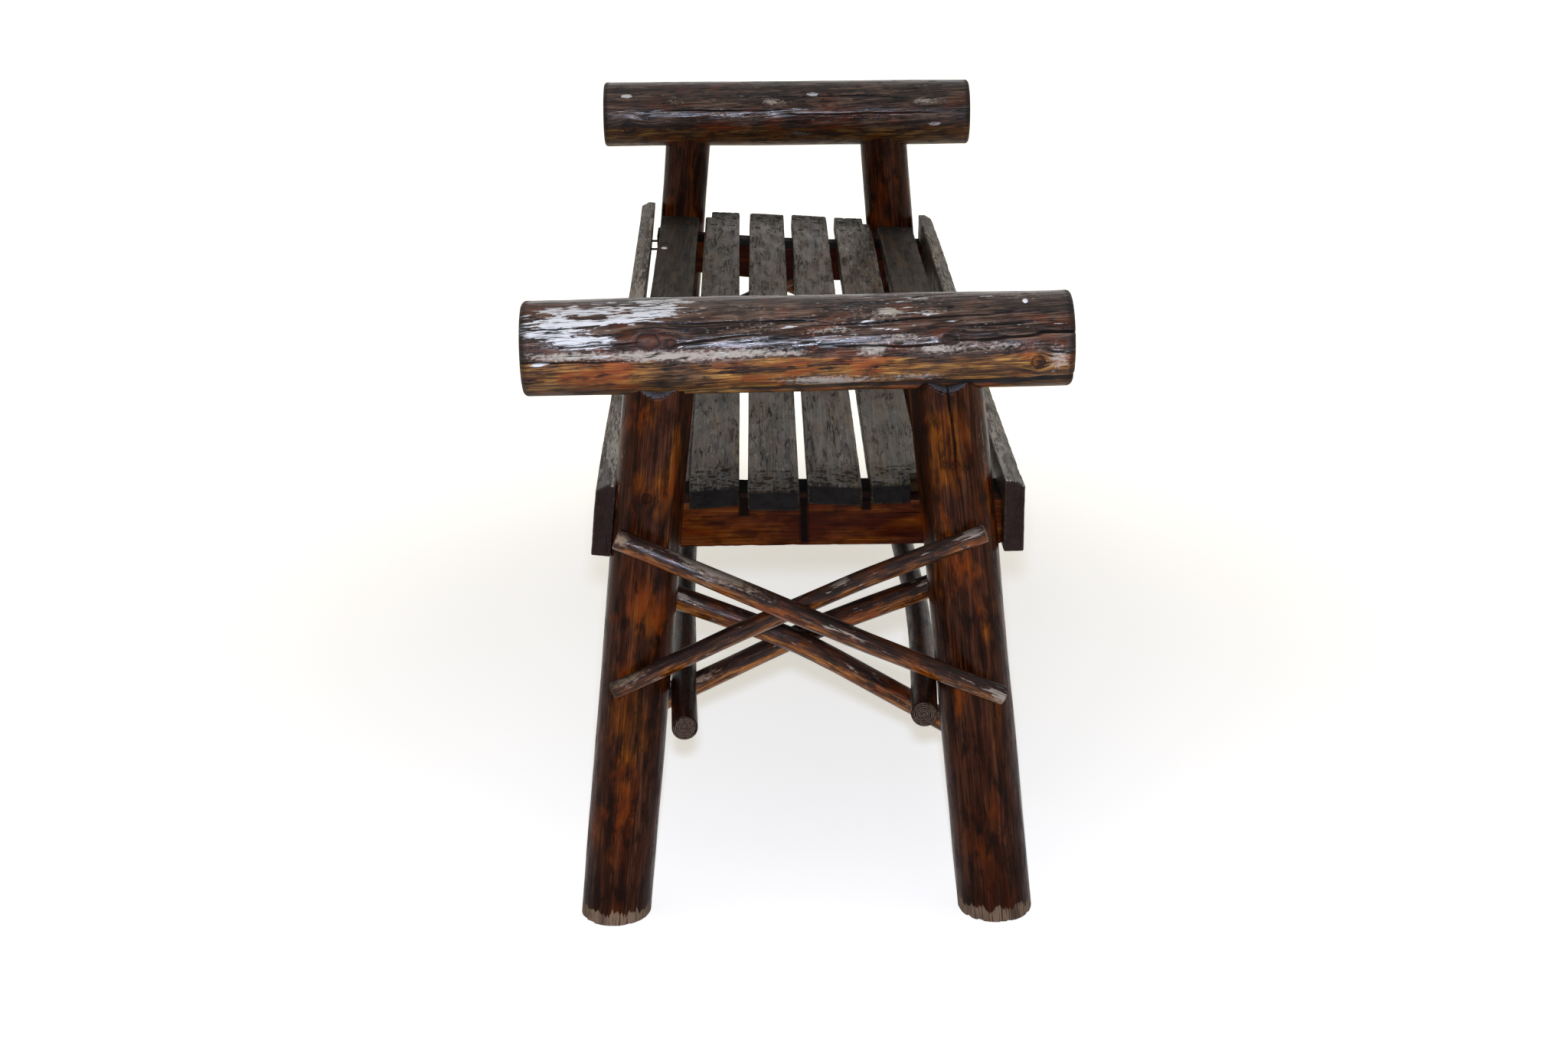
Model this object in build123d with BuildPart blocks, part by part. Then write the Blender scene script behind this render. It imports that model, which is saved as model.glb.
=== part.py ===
"""Rustic log bench: two log-armed end frames, a slatted seat, side boards and stretcher poles.

Each end frame is a pair of splayed log legs tenoned into an arm log, tied by a seat rail that is
housed in the legs, and stiffened by two crossed pairs of rods. Full-length slats run between the
legs, short slats butt against them, and two bevelled boards close the seat at front and back.

Frame: +X along the bench towards its right end, +Y towards its back, +Z up, in millimetres.
The origin is on the floor under the middle of the bench.
"""
import os
from math import cos, radians, sin, sqrt, tan

from build123d import *

RIGHT, LEFT = 1, -1
FRONT, BACK = -1, 1
END_NAMES = {RIGHT: "right", LEFT: "left"}
SIDE_NAMES = {FRONT: "front", BACK: "back"}

# Seat
seat_height = 450.0          # top of the slats at the right end
frame_reach = 629.0          # bench centre to the plane of each pair of legs
slat_width = 50.0
slat_thickness = 20.0
slat_gap = 9.5
slat_projection = 3.0        # full slats run this far past the leg plane
slat_count = 4               # full-length slats, between the legs
seat_shift = 1.5             # the slats sit a little towards the back
slat_edge_radius = 1.5
notch_clearance = 6.0        # room left round a leg where a slat is notched
front_short_slat_gap = 10.5          # from the outer full slat
back_short_slat_gap = 16.0
front_short_slat_margin = 3.5        # to the side board
back_short_slat_margin = 11.5
short_slat_end_gap = 1.5             # to the leg that it butts against
left_seat_tilt = 3.15        # degrees: the left end of the seat is higher at the front

# Legs
leg_from_slat = 31.5         # leg axis from the outer slat's edge, at seat height
leg_swell = 1.3              # radius gained from the arm log down to the floor
front_right_leg_radius = 33.3        # in the arm log
back_right_leg_radius = 36.0
front_left_leg_radius = 31.8
back_left_leg_radius = 33.4
back_left_leg_shift = 4.0    # this leg stands a little further out than the others
foot_allowance = 12.0        # stock below the floor line before the foot is cut level
facet_height = 20.0          # hewn facet that fairs the outer side of a leg into the arm log
facet_depth = 14.0
hewn_angle = 70.0            # the inner side of a leg is hewn flat, turned this far from straight out
hewn_depth = 4.0
hewn_below_rail = 12.0

# Arm logs
arm_radius = 44.5
right_arm_length = 514.0
left_arm_length = 516.0
right_arm_above_seat = 142.0         # its axis above the slats
left_arm_above_seat = 147.0
right_arm_shift = -5.0               # the right one sits towards the front, the left one to the back
left_arm_shift = 4.0
arm_end_radius = 6.0
tenon_radius = 16.0
tenon_length = 36.0
tenon_clearance = 0.2
mortise_spare = 3.0

# Seat rails: both faces bow towards the bench's middle
rail_height = 46.0
right_rail_inset = 12.0      # outer face at the rail's ends, from the leg plane
left_rail_inset = 28.0
right_rail_end_width = 68.0
left_rail_end_width = 50.0
right_rail_outer_bow = 2.0
right_rail_inner_bow = 5.0
left_rail_outer_bow = 34.0
left_rail_inner_bow = 52.0
rail_housing = 1.6           # slats are let into the rail's top

# Side boards
board_thickness = 19.0
board_height = 72.0
board_proud = 7.5            # board top above the slats
board_bevel_width = 10.0
board_bevel_height = 6.5
board_projection = 12.0
front_board_flare = 8.0      # its left end stands this much further out
back_board_gap = 10.5        # the back board stands clear of the legs
seat_bite = 1.5              # a round piece is cut this deep where another seats on it

# Stretcher poles
pole_radius = 13.0
pole_height = 250.0
front_pole_projection = 96.0         # past the leg plane
back_pole_projection = 82.0

# Brace rods: a crossed pair on each side of an end frame. Heights are at a rod's high and low leg.
outer_rod_a_radius = 9.6
outer_rod_a_below_seat = 46.0
outer_rod_a_above_pole = 12.0
outer_rod_a_overhang = 30.0
outer_rod_b_radius = 8.6
outer_rod_b_below_seat = 43.0
outer_rod_b_above_pole = 18.0
outer_rod_b_overhang = 23.0
inner_rod_a_radius = 10.6
inner_rod_a_below_rail = 49.6
inner_rod_a_under_pole = 15.0
inner_rod_a_rise = 18.0              # rod a is bent upwards
inner_rod_b_radius = 10.4
inner_rod_b_below_rail = 44.6
inner_rod_b_under_pole = 4.5
inner_rod_b_rise = 4.5
inner_overhang = 12.0
rod_clearance = 0.3          # between the two rods of a pair where they cross

# Nails and coach screws
nail_radius = 1.6
nail_head_radius = 3.6
nail_head_thickness = 1.5
nail_sink = 1.0              # heads are driven this far below the surface
slat_nail_length = 45.0
board_nail_length = 35.0
brace_nail_length = 40.0
pole_nail_length = 60.0
slat_nail_spread = 24.0
board_nail_along = 9.0       # along X and up, either side of the rail's middle
board_nail_up = 8.0
screw_radius = 4.0
screw_length = 78.0
screw_head_across = 13.0
screw_head_height = 5.5
washer_radius = 9.0
washer_thickness = 1.5
counterbore_radius = 10.5
counterbore_depth = 9.0

# Sizes by side and by end
short_slat_gap = {FRONT: front_short_slat_gap, BACK: back_short_slat_gap}
short_slat_margin = {FRONT: front_short_slat_margin, BACK: back_short_slat_margin}
leg_top_radius = {
    (FRONT, RIGHT): front_right_leg_radius,
    (BACK, RIGHT): back_right_leg_radius,
    (FRONT, LEFT): front_left_leg_radius,
    (BACK, LEFT): back_left_leg_radius,
}
leg_splay = {(FRONT, RIGHT): 5.9, (BACK, RIGHT): 5.9, (FRONT, LEFT): 5.2, (BACK, LEFT): 4.4}
leg_shift = {(FRONT, RIGHT): 0, (BACK, RIGHT): 0, (FRONT, LEFT): 0, (BACK, LEFT): back_left_leg_shift}
arm_length = {RIGHT: right_arm_length, LEFT: left_arm_length}
arm_height = {RIGHT: seat_height + right_arm_above_seat, LEFT: seat_height + left_arm_above_seat}
arm_shift = {RIGHT: right_arm_shift, LEFT: left_arm_shift}
rail_outer_reach = {RIGHT: frame_reach - right_rail_inset, LEFT: frame_reach - left_rail_inset}
rail_end_width = {RIGHT: right_rail_end_width, LEFT: left_rail_end_width}
rail_outer_bow = {RIGHT: right_rail_outer_bow, LEFT: left_rail_outer_bow}
rail_inner_bow = {RIGHT: right_rail_inner_bow, LEFT: left_rail_inner_bow}
board_flare = {FRONT: front_board_flare, BACK: 0}
pole_projection = {FRONT: front_pole_projection, BACK: back_pole_projection}

# Worked out
slat_pitch = slat_width + slat_gap
slats_half_width = (slat_count * slat_width + (slat_count - 1) * slat_gap) / 2
leg_seat_y = slats_half_width + leg_from_slat
slat_underside = seat_height - slat_thickness
rail_top = slat_underside + rail_housing
slat_end = frame_reach + slat_projection
board_end = frame_reach + board_projection
rail_underside = rail_top - rail_height

# The rods of a pair: "out" is the way that a rod bows to pass the other one
outer_rods = {
    "a": {
        "radius": outer_rod_a_radius,
        "high_side": FRONT,
        "high": seat_height - outer_rod_a_below_seat,
        "low": pole_height + outer_rod_a_above_pole,
        "overhang": outer_rod_a_overhang,
        "out": 1,
    },
    "b": {
        "radius": outer_rod_b_radius,
        "high_side": BACK,
        "high": seat_height - outer_rod_b_below_seat,
        "low": pole_height + outer_rod_b_above_pole,
        "overhang": outer_rod_b_overhang,
        "out": -1,
    },
}
inner_rods = {
    "a": {
        "radius": inner_rod_a_radius,
        "high_side": FRONT,
        "high": rail_underside - inner_rod_a_below_rail,
        "under_pole": inner_rod_a_under_pole,
        "rise": inner_rod_a_rise,
        "out": 1,
    },
    "b": {
        "radius": inner_rod_b_radius,
        "high_side": BACK,
        "high": rail_underside - inner_rod_b_below_rail,
        "under_pole": inner_rod_b_under_pole,
        "rise": inner_rod_b_rise,
        "out": -1,
    },
}


def leg_y(side, end, height):
    """Signed Y of a leg's axis at a height."""
    spread = leg_seat_y + leg_shift[side, end]
    return side * (spread + (seat_height - height) * tan(radians(leg_splay[side, end])))


def leg_radius(side, end, height):
    """Radius of a leg at a height."""
    return leg_top_radius[side, end] + leg_swell * (1 - height / arm_height[end])


def rail_face(end, y, reach, bow):
    """X of a rail's face at y: it bows evenly from its ends to its middle."""
    half = board_inner_y(BACK)
    return end * (reach - bow * (1 - (y / half) ** 2))


def rail_middle(end, y):
    """X of the middle of a rail at y."""
    outer = rail_face(end, y, rail_outer_reach[end], rail_outer_bow[end])
    inner = rail_face(end, y, rail_outer_reach[end] - rail_end_width[end], rail_inner_bow[end])
    return (outer + inner) / 2


def board_inner_y(side):
    """Distance of a side board's inner face from the bench's middle, at seat height."""
    legs = max(leg_radius(side, end, seat_height) for end in (RIGHT, LEFT))
    clear = back_board_gap if side == BACK else -seat_bite
    return leg_seat_y + legs + clear


def seat_rise(x, y):
    """Height that the tilt of the left rail adds to the seat at a place."""
    right, left = rail_middle(RIGHT, 0), rail_middle(LEFT, 0)
    return -tan(radians(left_seat_tilt)) * y * (right - x) / (right - left)


def seat_run(x, y, flare=0.0):
    """Vector along a slat or board from x to -x, up the tilted seat, its far end flare mm off in y."""
    return Vector(-2 * x, flare, seat_rise(-x, y) - seat_rise(x, y))


def seat_plane(x, y, height, flare=0.0):
    """Plane across a slat or board at x, with its x along +Y and its z along the piece to the left."""
    start = Vector(x, y, height + seat_rise(x, y))
    return Plane(origin=start, x_dir=(0, 1, 0), z_dir=seat_run(x, y, flare))


def leg_plane(side, end, start):
    """Plane square to a leg's axis, start mm up the axis from the floor, its x along +X."""
    lean = radians(leg_splay[side, end])
    axis = Vector(0, -side * sin(lean), cos(lean))
    foot = Vector(end * frame_reach, leg_y(side, end, 0), 0)
    return Plane(origin=foot + axis * start, x_dir=(1, 0, 0), z_dir=axis)


def axis_length(side, end, height):
    """Distance up a leg's axis to a height."""
    return height / cos(radians(leg_splay[side, end]))


def place_nail(point, direction, length):
    """Add one nail to the part being built, its head's top at point, driven along direction."""
    with Locations(Plane(origin=point, z_dir=direction).location):
        Cylinder(nail_head_radius, nail_head_thickness, align=(Align.CENTER, Align.CENTER, Align.MIN))
        Cylinder(nail_radius, length, align=(Align.CENTER, Align.CENTER, Align.MIN))


def rod_path(start, finish, bow, overhang):
    """End and middle points of a bowed rod that passes through start and finish.

    The rod bows by the vector bow at its middle and runs on past both points by overhang.
    """
    chord = finish - start
    along = chord.normalized()
    share = overhang / (chord.length + 2 * overhang)
    spent = 4 * share * (1 - share)
    sag = bow * (spent / (1 - spent))
    low = start - along * overhang - sag
    high = finish + along * overhang - sag
    middle = (start + finish) * 0.5 + bow
    return low, middle, high


def outer_rod_points(end, rod):
    """Where an outer rod crosses its two legs, and its bow."""
    data = outer_rods[rod]
    points = []
    for side, height in ((data["high_side"], data["high"]), (-data["high_side"], data["low"])):
        reach = frame_reach + leg_radius(side, end, height) + data["radius"] - seat_bite
        points.append(Vector(end * reach, leg_y(side, end, height), height))
    apart = outer_rods["a"]["radius"] + outer_rods["b"]["radius"] + rod_clearance
    offset = outer_rods["a"]["radius"] - outer_rods["b"]["radius"]
    bow = Vector(end * data["out"] * (apart - offset) / 2, 0, 0)
    return points[0], points[1], bow


def inner_rod_points(end, rod):
    """Where an inner rod crosses its two legs, and its bow: its low end passes under a pole."""
    data = inner_rods[rod]
    high_side, low_side = data["high_side"], -data["high_side"]
    high_y = leg_y(high_side, end, data["high"])
    under_y = pole_y(low_side)
    # The rod's chord passes lower than the rod itself by about half the rise.
    under = pole_height - pole_radius - data["under_pole"] - 1.1 * data["radius"] - data["rise"] / 2
    slope = (data["high"] - under) / abs(high_y - under_y)
    low = under - slope * (abs(leg_y(low_side, end, under)) - abs(under_y))
    points = []
    for side, height in ((high_side, data["high"]), (low_side, low)):
        reach = frame_reach - leg_radius(side, end, height) - data["radius"] + seat_bite
        points.append(Vector(end * reach, leg_y(side, end, height), height))
    apart = inner_rods["a"]["radius"] + inner_rods["b"]["radius"] + rod_clearance
    bow = Vector(end * data["out"] * apart / 2, 0, data["rise"])
    return points[0], points[1], bow


def pole_y(side):
    """Signed Y of a pole's axis: it seats in the inner sides of both legs on its side."""
    inner_sides = [
        abs(leg_y(side, end, pole_height)) - leg_radius(side, end, pole_height)
        for end in (RIGHT, LEFT)
    ]
    return side * (min(inner_sides) - pole_radius + seat_bite)


def board_lean(side):
    """Lean of a side board from upright, in degrees: the front one lies against the legs."""
    return leg_splay[FRONT, RIGHT] if side == FRONT else 0.0


def board_plane(side):
    """Plane across a side board's right end: its origin is on the inner face, at seat height."""
    across = seat_plane(board_end, side * board_inner_y(side), seat_height, side * board_flare[side])
    lean = radians(board_lean(side))
    leaning = across.x_dir * cos(lean) - across.y_dir * (side * sin(lean))
    return Plane(origin=across.origin, x_dir=leaning, z_dir=across.z_dir)


def make_side_board(side):
    """Bevelled board outside the legs, along the seat's edge."""
    foot = board_proud - board_height
    shoulder = board_proud - board_bevel_height
    crown = board_thickness - board_bevel_width
    profile = [
        (0, foot),
        (board_thickness, foot),
        (board_thickness, shoulder),
        (crown, board_proud),
        (0, board_proud),
    ]
    with BuildPart() as board:
        with BuildSketch(board_plane(side)):
            # In this plane x is the board's outward side, and y points down.
            Polygon(*[(side * out, -up) for out, up in profile], align=None)
        extrude(amount=seat_run(board_end, side * board_inner_y(side)).length)
        add(board_nails.part, mode=Mode.SUBTRACT)
    return board.part


def make_full_slat(index):
    """Full-length seat slat, notched where a leg stands in its way."""
    y = seat_shift + (index - (slat_count - 1) / 2) * slat_pitch
    with BuildPart() as slat:
        with BuildSketch(seat_plane(slat_end, y, seat_height - slat_thickness / 2)):
            RectangleRounded(slat_width, slat_thickness, slat_edge_radius)
        extrude(amount=seat_run(slat_end, y).length)
        for (side, end), radius in leg_top_radius.items():
            room = radius + leg_swell + notch_clearance
            with Locations((end * frame_reach, leg_y(side, end, seat_height), seat_height)):
                Box(2 * room, 2 * room, 4 * slat_thickness, mode=Mode.SUBTRACT)
        add(slat_nails.part, mode=Mode.SUBTRACT)
    return slat.part


def short_slat_edges(side):
    """Inner and outer edge of a short slat, as distances from the bench's middle."""
    inner = slats_half_width + side * seat_shift + short_slat_gap[side]
    outer = board_inner_y(side) - short_slat_margin[side]
    return inner, outer


def short_slat_middle(side):
    """Signed Y of the middle of a short slat."""
    return side * sum(short_slat_edges(side)) / 2


def make_short_slat(side):
    """Short seat slat, in line with the legs and between them."""
    inner, outer = short_slat_edges(side)
    y = short_slat_middle(side)
    widest = max(leg_radius(side, end, seat_height) for end in (RIGHT, LEFT))
    reach = frame_reach - widest - short_slat_end_gap
    with BuildPart() as slat:
        with BuildSketch(seat_plane(reach, y, seat_height - slat_thickness / 2)):
            RectangleRounded(outer - inner, slat_thickness, slat_edge_radius)
        extrude(amount=seat_run(reach, y).length)
        add(slat_nails.part, mode=Mode.SUBTRACT)
    return slat.part


def make_rail(end):
    """Seat rail of one end frame, cut to the side boards and housed for the slats."""
    tilt = radians(left_seat_tilt) if end == LEFT else 0.0
    outer = rail_outer_reach[end]
    inner = outer - rail_end_width[end]
    reach = board_inner_y(BACK) + board_thickness
    with BuildPart() as rail:
        with BuildSketch(Plane(origin=(0, 0, rail_top), x_dir=(1, 0, 0), z_dir=(0, sin(tilt), cos(tilt)))):
            with BuildLine():
                front_outer = (end * outer, -reach)
                back_outer = (end * outer, reach)
                front_inner = (end * inner, -reach)
                back_inner = (end * inner, reach)
                ThreePointArc(front_outer, (end * (outer - rail_outer_bow[end]), 0), back_outer)
                Line(back_outer, back_inner)
                ThreePointArc(back_inner, (end * (inner - rail_inner_bow[end]), 0), front_inner)
                Line(front_inner, front_outer)
            make_face()
        extrude(amount=-rail_height)
        for side in (FRONT, BACK):
            across = board_plane(side)
            split(bisect_by=Plane(origin=across.origin, x_dir=across.z_dir, z_dir=across.x_dir * -side))
        for slat in slats.values():
            add(slat, mode=Mode.SUBTRACT)
        for side in (FRONT, BACK):
            bore = screw_place(side, end)
            with Locations(Plane(origin=bore, z_dir=(-end, 0, 0)).location):
                Cylinder(
                    counterbore_radius,
                    2 * rail_end_width[end],
                    align=(Align.CENTER, Align.CENTER, Align.MIN),
                    mode=Mode.SUBTRACT,
                )
        for fixings in (slat_nails, board_nails, rail_screws):
            add(fixings.part, mode=Mode.SUBTRACT)
    return rail.part


def screw_place(side, end):
    """Bottom of a coach screw's counterbore, in the inner face of a rail."""
    tilt = tan(radians(left_seat_tilt)) if end == LEFT else 0.0
    middle = rail_top - rail_height / 2
    y = leg_y(side, end, middle)
    face = rail_face(end, y, rail_outer_reach[end] - rail_end_width[end], rail_inner_bow[end])
    return Vector(face + end * counterbore_depth, y, middle - tilt * y)


def make_leg(side, end):
    """Splayed log leg: cut level at the floor, coped and tenoned into the arm log at the top."""
    top = arm_height[end]
    length = axis_length(side, end, top) + foot_allowance
    crest = leg_top_radius[side, end]
    underside = top - sqrt(arm_radius ** 2 - crest ** 2)
    cheek = underside - facet_height
    with BuildPart() as leg:
        with BuildSketch(leg_plane(side, end, -foot_allowance)):
            Circle(crest + leg_swell)
        with BuildSketch(leg_plane(side, end, length - foot_allowance)):
            Circle(crest)
        loft(ruled=True)
        split(bisect_by=Plane.XY, keep=Keep.TOP)
        with BuildSketch(Plane.XZ):
            outline = [
                (frame_reach + crest, cheek),
                (frame_reach + crest - facet_depth, cheek + facet_height),
                (frame_reach + crest - facet_depth, top),
                (frame_reach + 2 * crest, top),
                (frame_reach + 2 * crest, cheek),
            ]
            Polygon(*[(end * x, z) for x, z in outline], align=None)
        extrude(amount=arm_length[end], both=True, mode=Mode.SUBTRACT)
        start = axis_length(side, end, rail_underside - hewn_below_rail)
        with BuildSketch(leg_plane(side, end, start)):
            turn = -side * (90 - end * (90 - hewn_angle))
            with PolarLocations(2 * crest - hewn_depth, 1, start_angle=turn):
                Rectangle(2 * crest, 4 * crest)
        extrude(amount=length, mode=Mode.SUBTRACT)
        with Locations(Plane(origin=(end * frame_reach, 0, top), z_dir=(0, 1, 0)).location):
            Cylinder(arm_radius, 2 * arm_length[end], mode=Mode.SUBTRACT)
        tenon_top = axis_length(side, end, top - arm_radius) + tenon_length
        with BuildSketch(leg_plane(side, end, tenon_top)):
            Circle(tenon_radius)
        extrude(amount=-2 * tenon_length)
        add(rails[end], mode=Mode.SUBTRACT)
        add(poles[side], mode=Mode.SUBTRACT)
        if side == FRONT:
            add(boards[FRONT], mode=Mode.SUBTRACT)
        for fixings in (rail_screws, board_nails, outer_brace_nails, inner_brace_nails, pole_nails):
            add(fixings.part, mode=Mode.SUBTRACT)
    return leg.part


def make_arm_log(end):
    """Arm log across the tops of two legs, with a blind mortise for each tenon."""
    middle = Plane(origin=(end * frame_reach, arm_shift[end], arm_height[end]), z_dir=(0, 1, 0))
    with BuildPart() as log:
        with BuildSketch(middle):
            Circle(arm_radius)
        extrude(amount=arm_length[end] / 2, both=True)
        fillet(log.edges().filter_by(GeomType.CIRCLE), arm_end_radius)
        for side in (FRONT, BACK):
            mouth = axis_length(side, end, arm_height[end] - arm_radius)
            with BuildSketch(leg_plane(side, end, mouth - tenon_length)):
                Circle(tenon_radius + tenon_clearance)
            extrude(amount=2 * tenon_length + mortise_spare, mode=Mode.SUBTRACT)
    return log.part


def make_pole(side):
    """Round stretcher pole along the bench, inside the legs."""
    reach = frame_reach + pole_projection[side]
    with BuildPart() as pole:
        with BuildSketch(Plane(origin=(0, pole_y(side), pole_height), z_dir=(1, 0, 0))):
            Circle(pole_radius)
        extrude(amount=reach, both=True)
        add(pole_nails.part, mode=Mode.SUBTRACT)
    return pole.part


def make_rod(low, middle, high, radius, end, nails):
    """Brace rod along a shallow arc, coped to the legs that it is nailed to."""
    with BuildPart() as rod:
        with BuildLine() as path:
            ThreePointArc(low, middle, high)
        with BuildSketch(Plane(origin=path.line @ 0, z_dir=path.line % 0)):
            Circle(radius)
        sweep(path=path.line)
        for side in (FRONT, BACK):
            add(legs[side, end], mode=Mode.SUBTRACT)
        add(nails.part, mode=Mode.SUBTRACT)
    return rod.part


# Fasteners come first, because the pieces they pass through are drilled with them.
with BuildPart() as slat_nails:
    slat_lines = [seat_shift + (index - (slat_count - 1) / 2) * slat_pitch for index in range(slat_count)]
    slat_lines += [short_slat_middle(side) for side in (FRONT, BACK)]
    for end in (RIGHT, LEFT):
        for line in slat_lines:
            for y in (line - slat_nail_spread / 2, line + slat_nail_spread / 2):
                x = rail_middle(end, y)
                height = seat_height + seat_rise(x, line) - nail_sink
                place_nail((x, y, height), (0, 0, -1), slat_nail_length)

with BuildPart() as board_nails:
    for end in (RIGHT, LEFT):
        for side in (FRONT, BACK):
            face = board_inner_y(side) + board_thickness - nail_sink
            for sign in (-1, 1):
                x = rail_middle(end, face) + sign * board_nail_along
                level = rail_top - rail_height / 2 + sign * board_nail_up
                lean = tan(radians(board_lean(side))) * (seat_height - level)
                flare = board_flare[side] * (board_end - x) / (2 * board_end)
                point = (x, side * (face + lean + flare), level + seat_rise(x, side * face))
                place_nail(point, (0, -side, 0), board_nail_length)

with BuildPart() as outer_brace_nails:
    for end in (RIGHT, LEFT):
        for rod, data in outer_rods.items():
            for point in outer_rod_points(end, rod)[:2]:
                head = point + Vector(end * (data["radius"] - nail_sink), 0, 0)
                place_nail(head, (-end, 0, 0), brace_nail_length)

with BuildPart() as inner_brace_nails:
    for end in (RIGHT, LEFT):
        for rod, data in inner_rods.items():
            for point in inner_rod_points(end, rod)[:2]:
                head = point - Vector(end * (data["radius"] - nail_sink), 0, 0)
                place_nail(head, (end, 0, 0), brace_nail_length)

with BuildPart() as pole_nails:
    for end in (RIGHT, LEFT):
        for side in (FRONT, BACK):
            head = (end * frame_reach, pole_y(side) - side * (pole_radius - nail_sink), pole_height)
            place_nail(head, (0, side, 0), pole_nail_length)

with BuildPart() as rail_screws:
    for end in (RIGHT, LEFT):
        for side in (FRONT, BACK):
            head = screw_place(side, end) - Vector(end * washer_thickness, 0, 0)
            seat = Plane(origin=head, z_dir=(end, 0, 0))
            with BuildSketch(seat):
                RegularPolygon(screw_head_across / 2, 6, major_radius=False)
            extrude(amount=-screw_head_height)
            with BuildSketch(seat):
                Circle(screw_radius)
            extrude(amount=screw_length)

with BuildPart() as rail_washers:
    for end in (RIGHT, LEFT):
        for side in (FRONT, BACK):
            with BuildSketch(Plane(origin=screw_place(side, end), z_dir=(end, 0, 0))):
                Circle(washer_radius)
                Circle(screw_radius, mode=Mode.SUBTRACT)
            extrude(amount=-washer_thickness)

# The wood, in the order in which one piece is cut to fit another.
boards = {side: make_side_board(side) for side in (FRONT, BACK)}
slats = {f"seat_slat_{index + 1}": make_full_slat(index) for index in range(slat_count)}
slats |= {f"short_slat_{SIDE_NAMES[side]}": make_short_slat(side) for side in (FRONT, BACK)}
rails = {end: make_rail(end) for end in (RIGHT, LEFT)}
poles = {side: make_pole(side) for side in (FRONT, BACK)}
legs = {(side, end): make_leg(side, end) for side in (FRONT, BACK) for end in (RIGHT, LEFT)}

pieces = dict(slats)
for side, name in SIDE_NAMES.items():
    pieces[f"side_board_{name}"] = boards[side]
    pieces[f"stretcher_pole_{name}"] = poles[side]
for end, name in END_NAMES.items():
    pieces[f"seat_rail_{name}"] = rails[end]
    pieces[f"arm_log_{name}"] = make_arm_log(end)
    for rod, data in outer_rods.items():
        path = rod_path(*outer_rod_points(end, rod), data["overhang"])
        pieces[f"outer_brace_{name}_{rod}"] = make_rod(*path, data["radius"], end, outer_brace_nails)
    for rod, data in inner_rods.items():
        path = rod_path(*inner_rod_points(end, rod), inner_overhang)
        pieces[f"inner_brace_{name}_{rod}"] = make_rod(*path, data["radius"], end, inner_brace_nails)
for (side, end), leg in legs.items():
    pieces[f"leg_{SIDE_NAMES[side]}_{END_NAMES[end]}"] = leg
pieces |= {
    "slat_nails": slat_nails.part,
    "side_board_nails": board_nails.part,
    "outer_brace_nails": outer_brace_nails.part,
    "inner_brace_nails": inner_brace_nails.part,
    "pole_nails": pole_nails.part,
    "rail_screws": rail_screws.part,
    "rail_washers": rail_washers.part,
}

os.makedirs("parts", exist_ok=True)
for name, piece in pieces.items():
    piece.label = name
    export_step(piece, f"parts/{name}.step")
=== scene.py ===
"""Looks of a rustic log bench: peeled logs, sawn slats and brace rods under worn, dark varnish.

Frame: metres, +X along the bench towards its right end, +Y towards its back, +Z up. The origin is
on the floor under the middle of the bench. Every wooden piece is a closed skin of rings carried
along it, worked out with numpy. Each skin also carries "grain", a point's place in the straight
wood, and a few marks, mostly between 0 and 1, which the finishes read.
"""
from __future__ import annotations

import logging
from dataclasses import dataclass, field
from enum import Enum
from itertools import product
from typing import Any, Iterable, Sequence

import bpy
import numpy as np
from mathutils import Matrix, Vector

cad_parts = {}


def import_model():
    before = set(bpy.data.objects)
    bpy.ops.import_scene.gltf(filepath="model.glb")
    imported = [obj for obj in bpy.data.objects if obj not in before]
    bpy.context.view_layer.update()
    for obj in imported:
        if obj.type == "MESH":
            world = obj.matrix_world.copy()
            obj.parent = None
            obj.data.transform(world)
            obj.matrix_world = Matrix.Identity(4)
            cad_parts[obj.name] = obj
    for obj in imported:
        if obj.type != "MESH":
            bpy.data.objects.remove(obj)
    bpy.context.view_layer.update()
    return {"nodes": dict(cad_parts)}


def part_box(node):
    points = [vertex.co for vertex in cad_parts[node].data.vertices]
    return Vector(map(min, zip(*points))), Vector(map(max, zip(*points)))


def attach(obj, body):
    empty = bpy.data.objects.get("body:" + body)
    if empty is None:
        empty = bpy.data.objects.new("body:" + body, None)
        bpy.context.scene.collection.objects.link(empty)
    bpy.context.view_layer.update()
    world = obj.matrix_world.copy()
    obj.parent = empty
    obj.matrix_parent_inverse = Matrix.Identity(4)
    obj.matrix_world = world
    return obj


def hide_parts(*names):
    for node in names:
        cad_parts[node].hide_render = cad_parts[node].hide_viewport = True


Array = np.ndarray
Span = tuple[float, float]
Place = tuple[float, float, float]
log = logging.getLogger("bench")

MM = 0.001
UP = np.array([0.0, 0.0, 1.0])
ALONG = np.array([1.0, 0.0, 0.0])
BACKWARD = np.array([0.0, 1.0, 0.0])

# Added to a piece's seed for its marks and its torn foot, whose noise differs from its relief's.
MARKS = 20
LEG_MARKS = 60
TORN_FOOT = 40
GRAIN_APART = 3.7    # metres between two pieces' places in the wood, for each step of the seed


class End(Enum):
    """An end of the bench, with its side of X."""

    RIGHT = 1
    LEFT = -1


class Side(Enum):
    """A long side of the bench, with its side of Y."""

    FRONT = -1
    BACK = 1


# ---------------------------------------------------------------- shapes worked out as arrays


def fade(low: float, high: float, value: Array) -> Array:
    """Step smoothly from 0 at low to 1 at high.

    Args:
        low: Value where the step begins.
        high: Value where it ends, above or below low.
        value: Where to read the step.

    Returns:
        t * t * (3 - 2 * t), with t the share of the way from low to high.
    """
    share = np.clip((value - low) / (high - low), 0.0, 1.0)
    return share * share * (3.0 - 2.0 * share)


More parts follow.
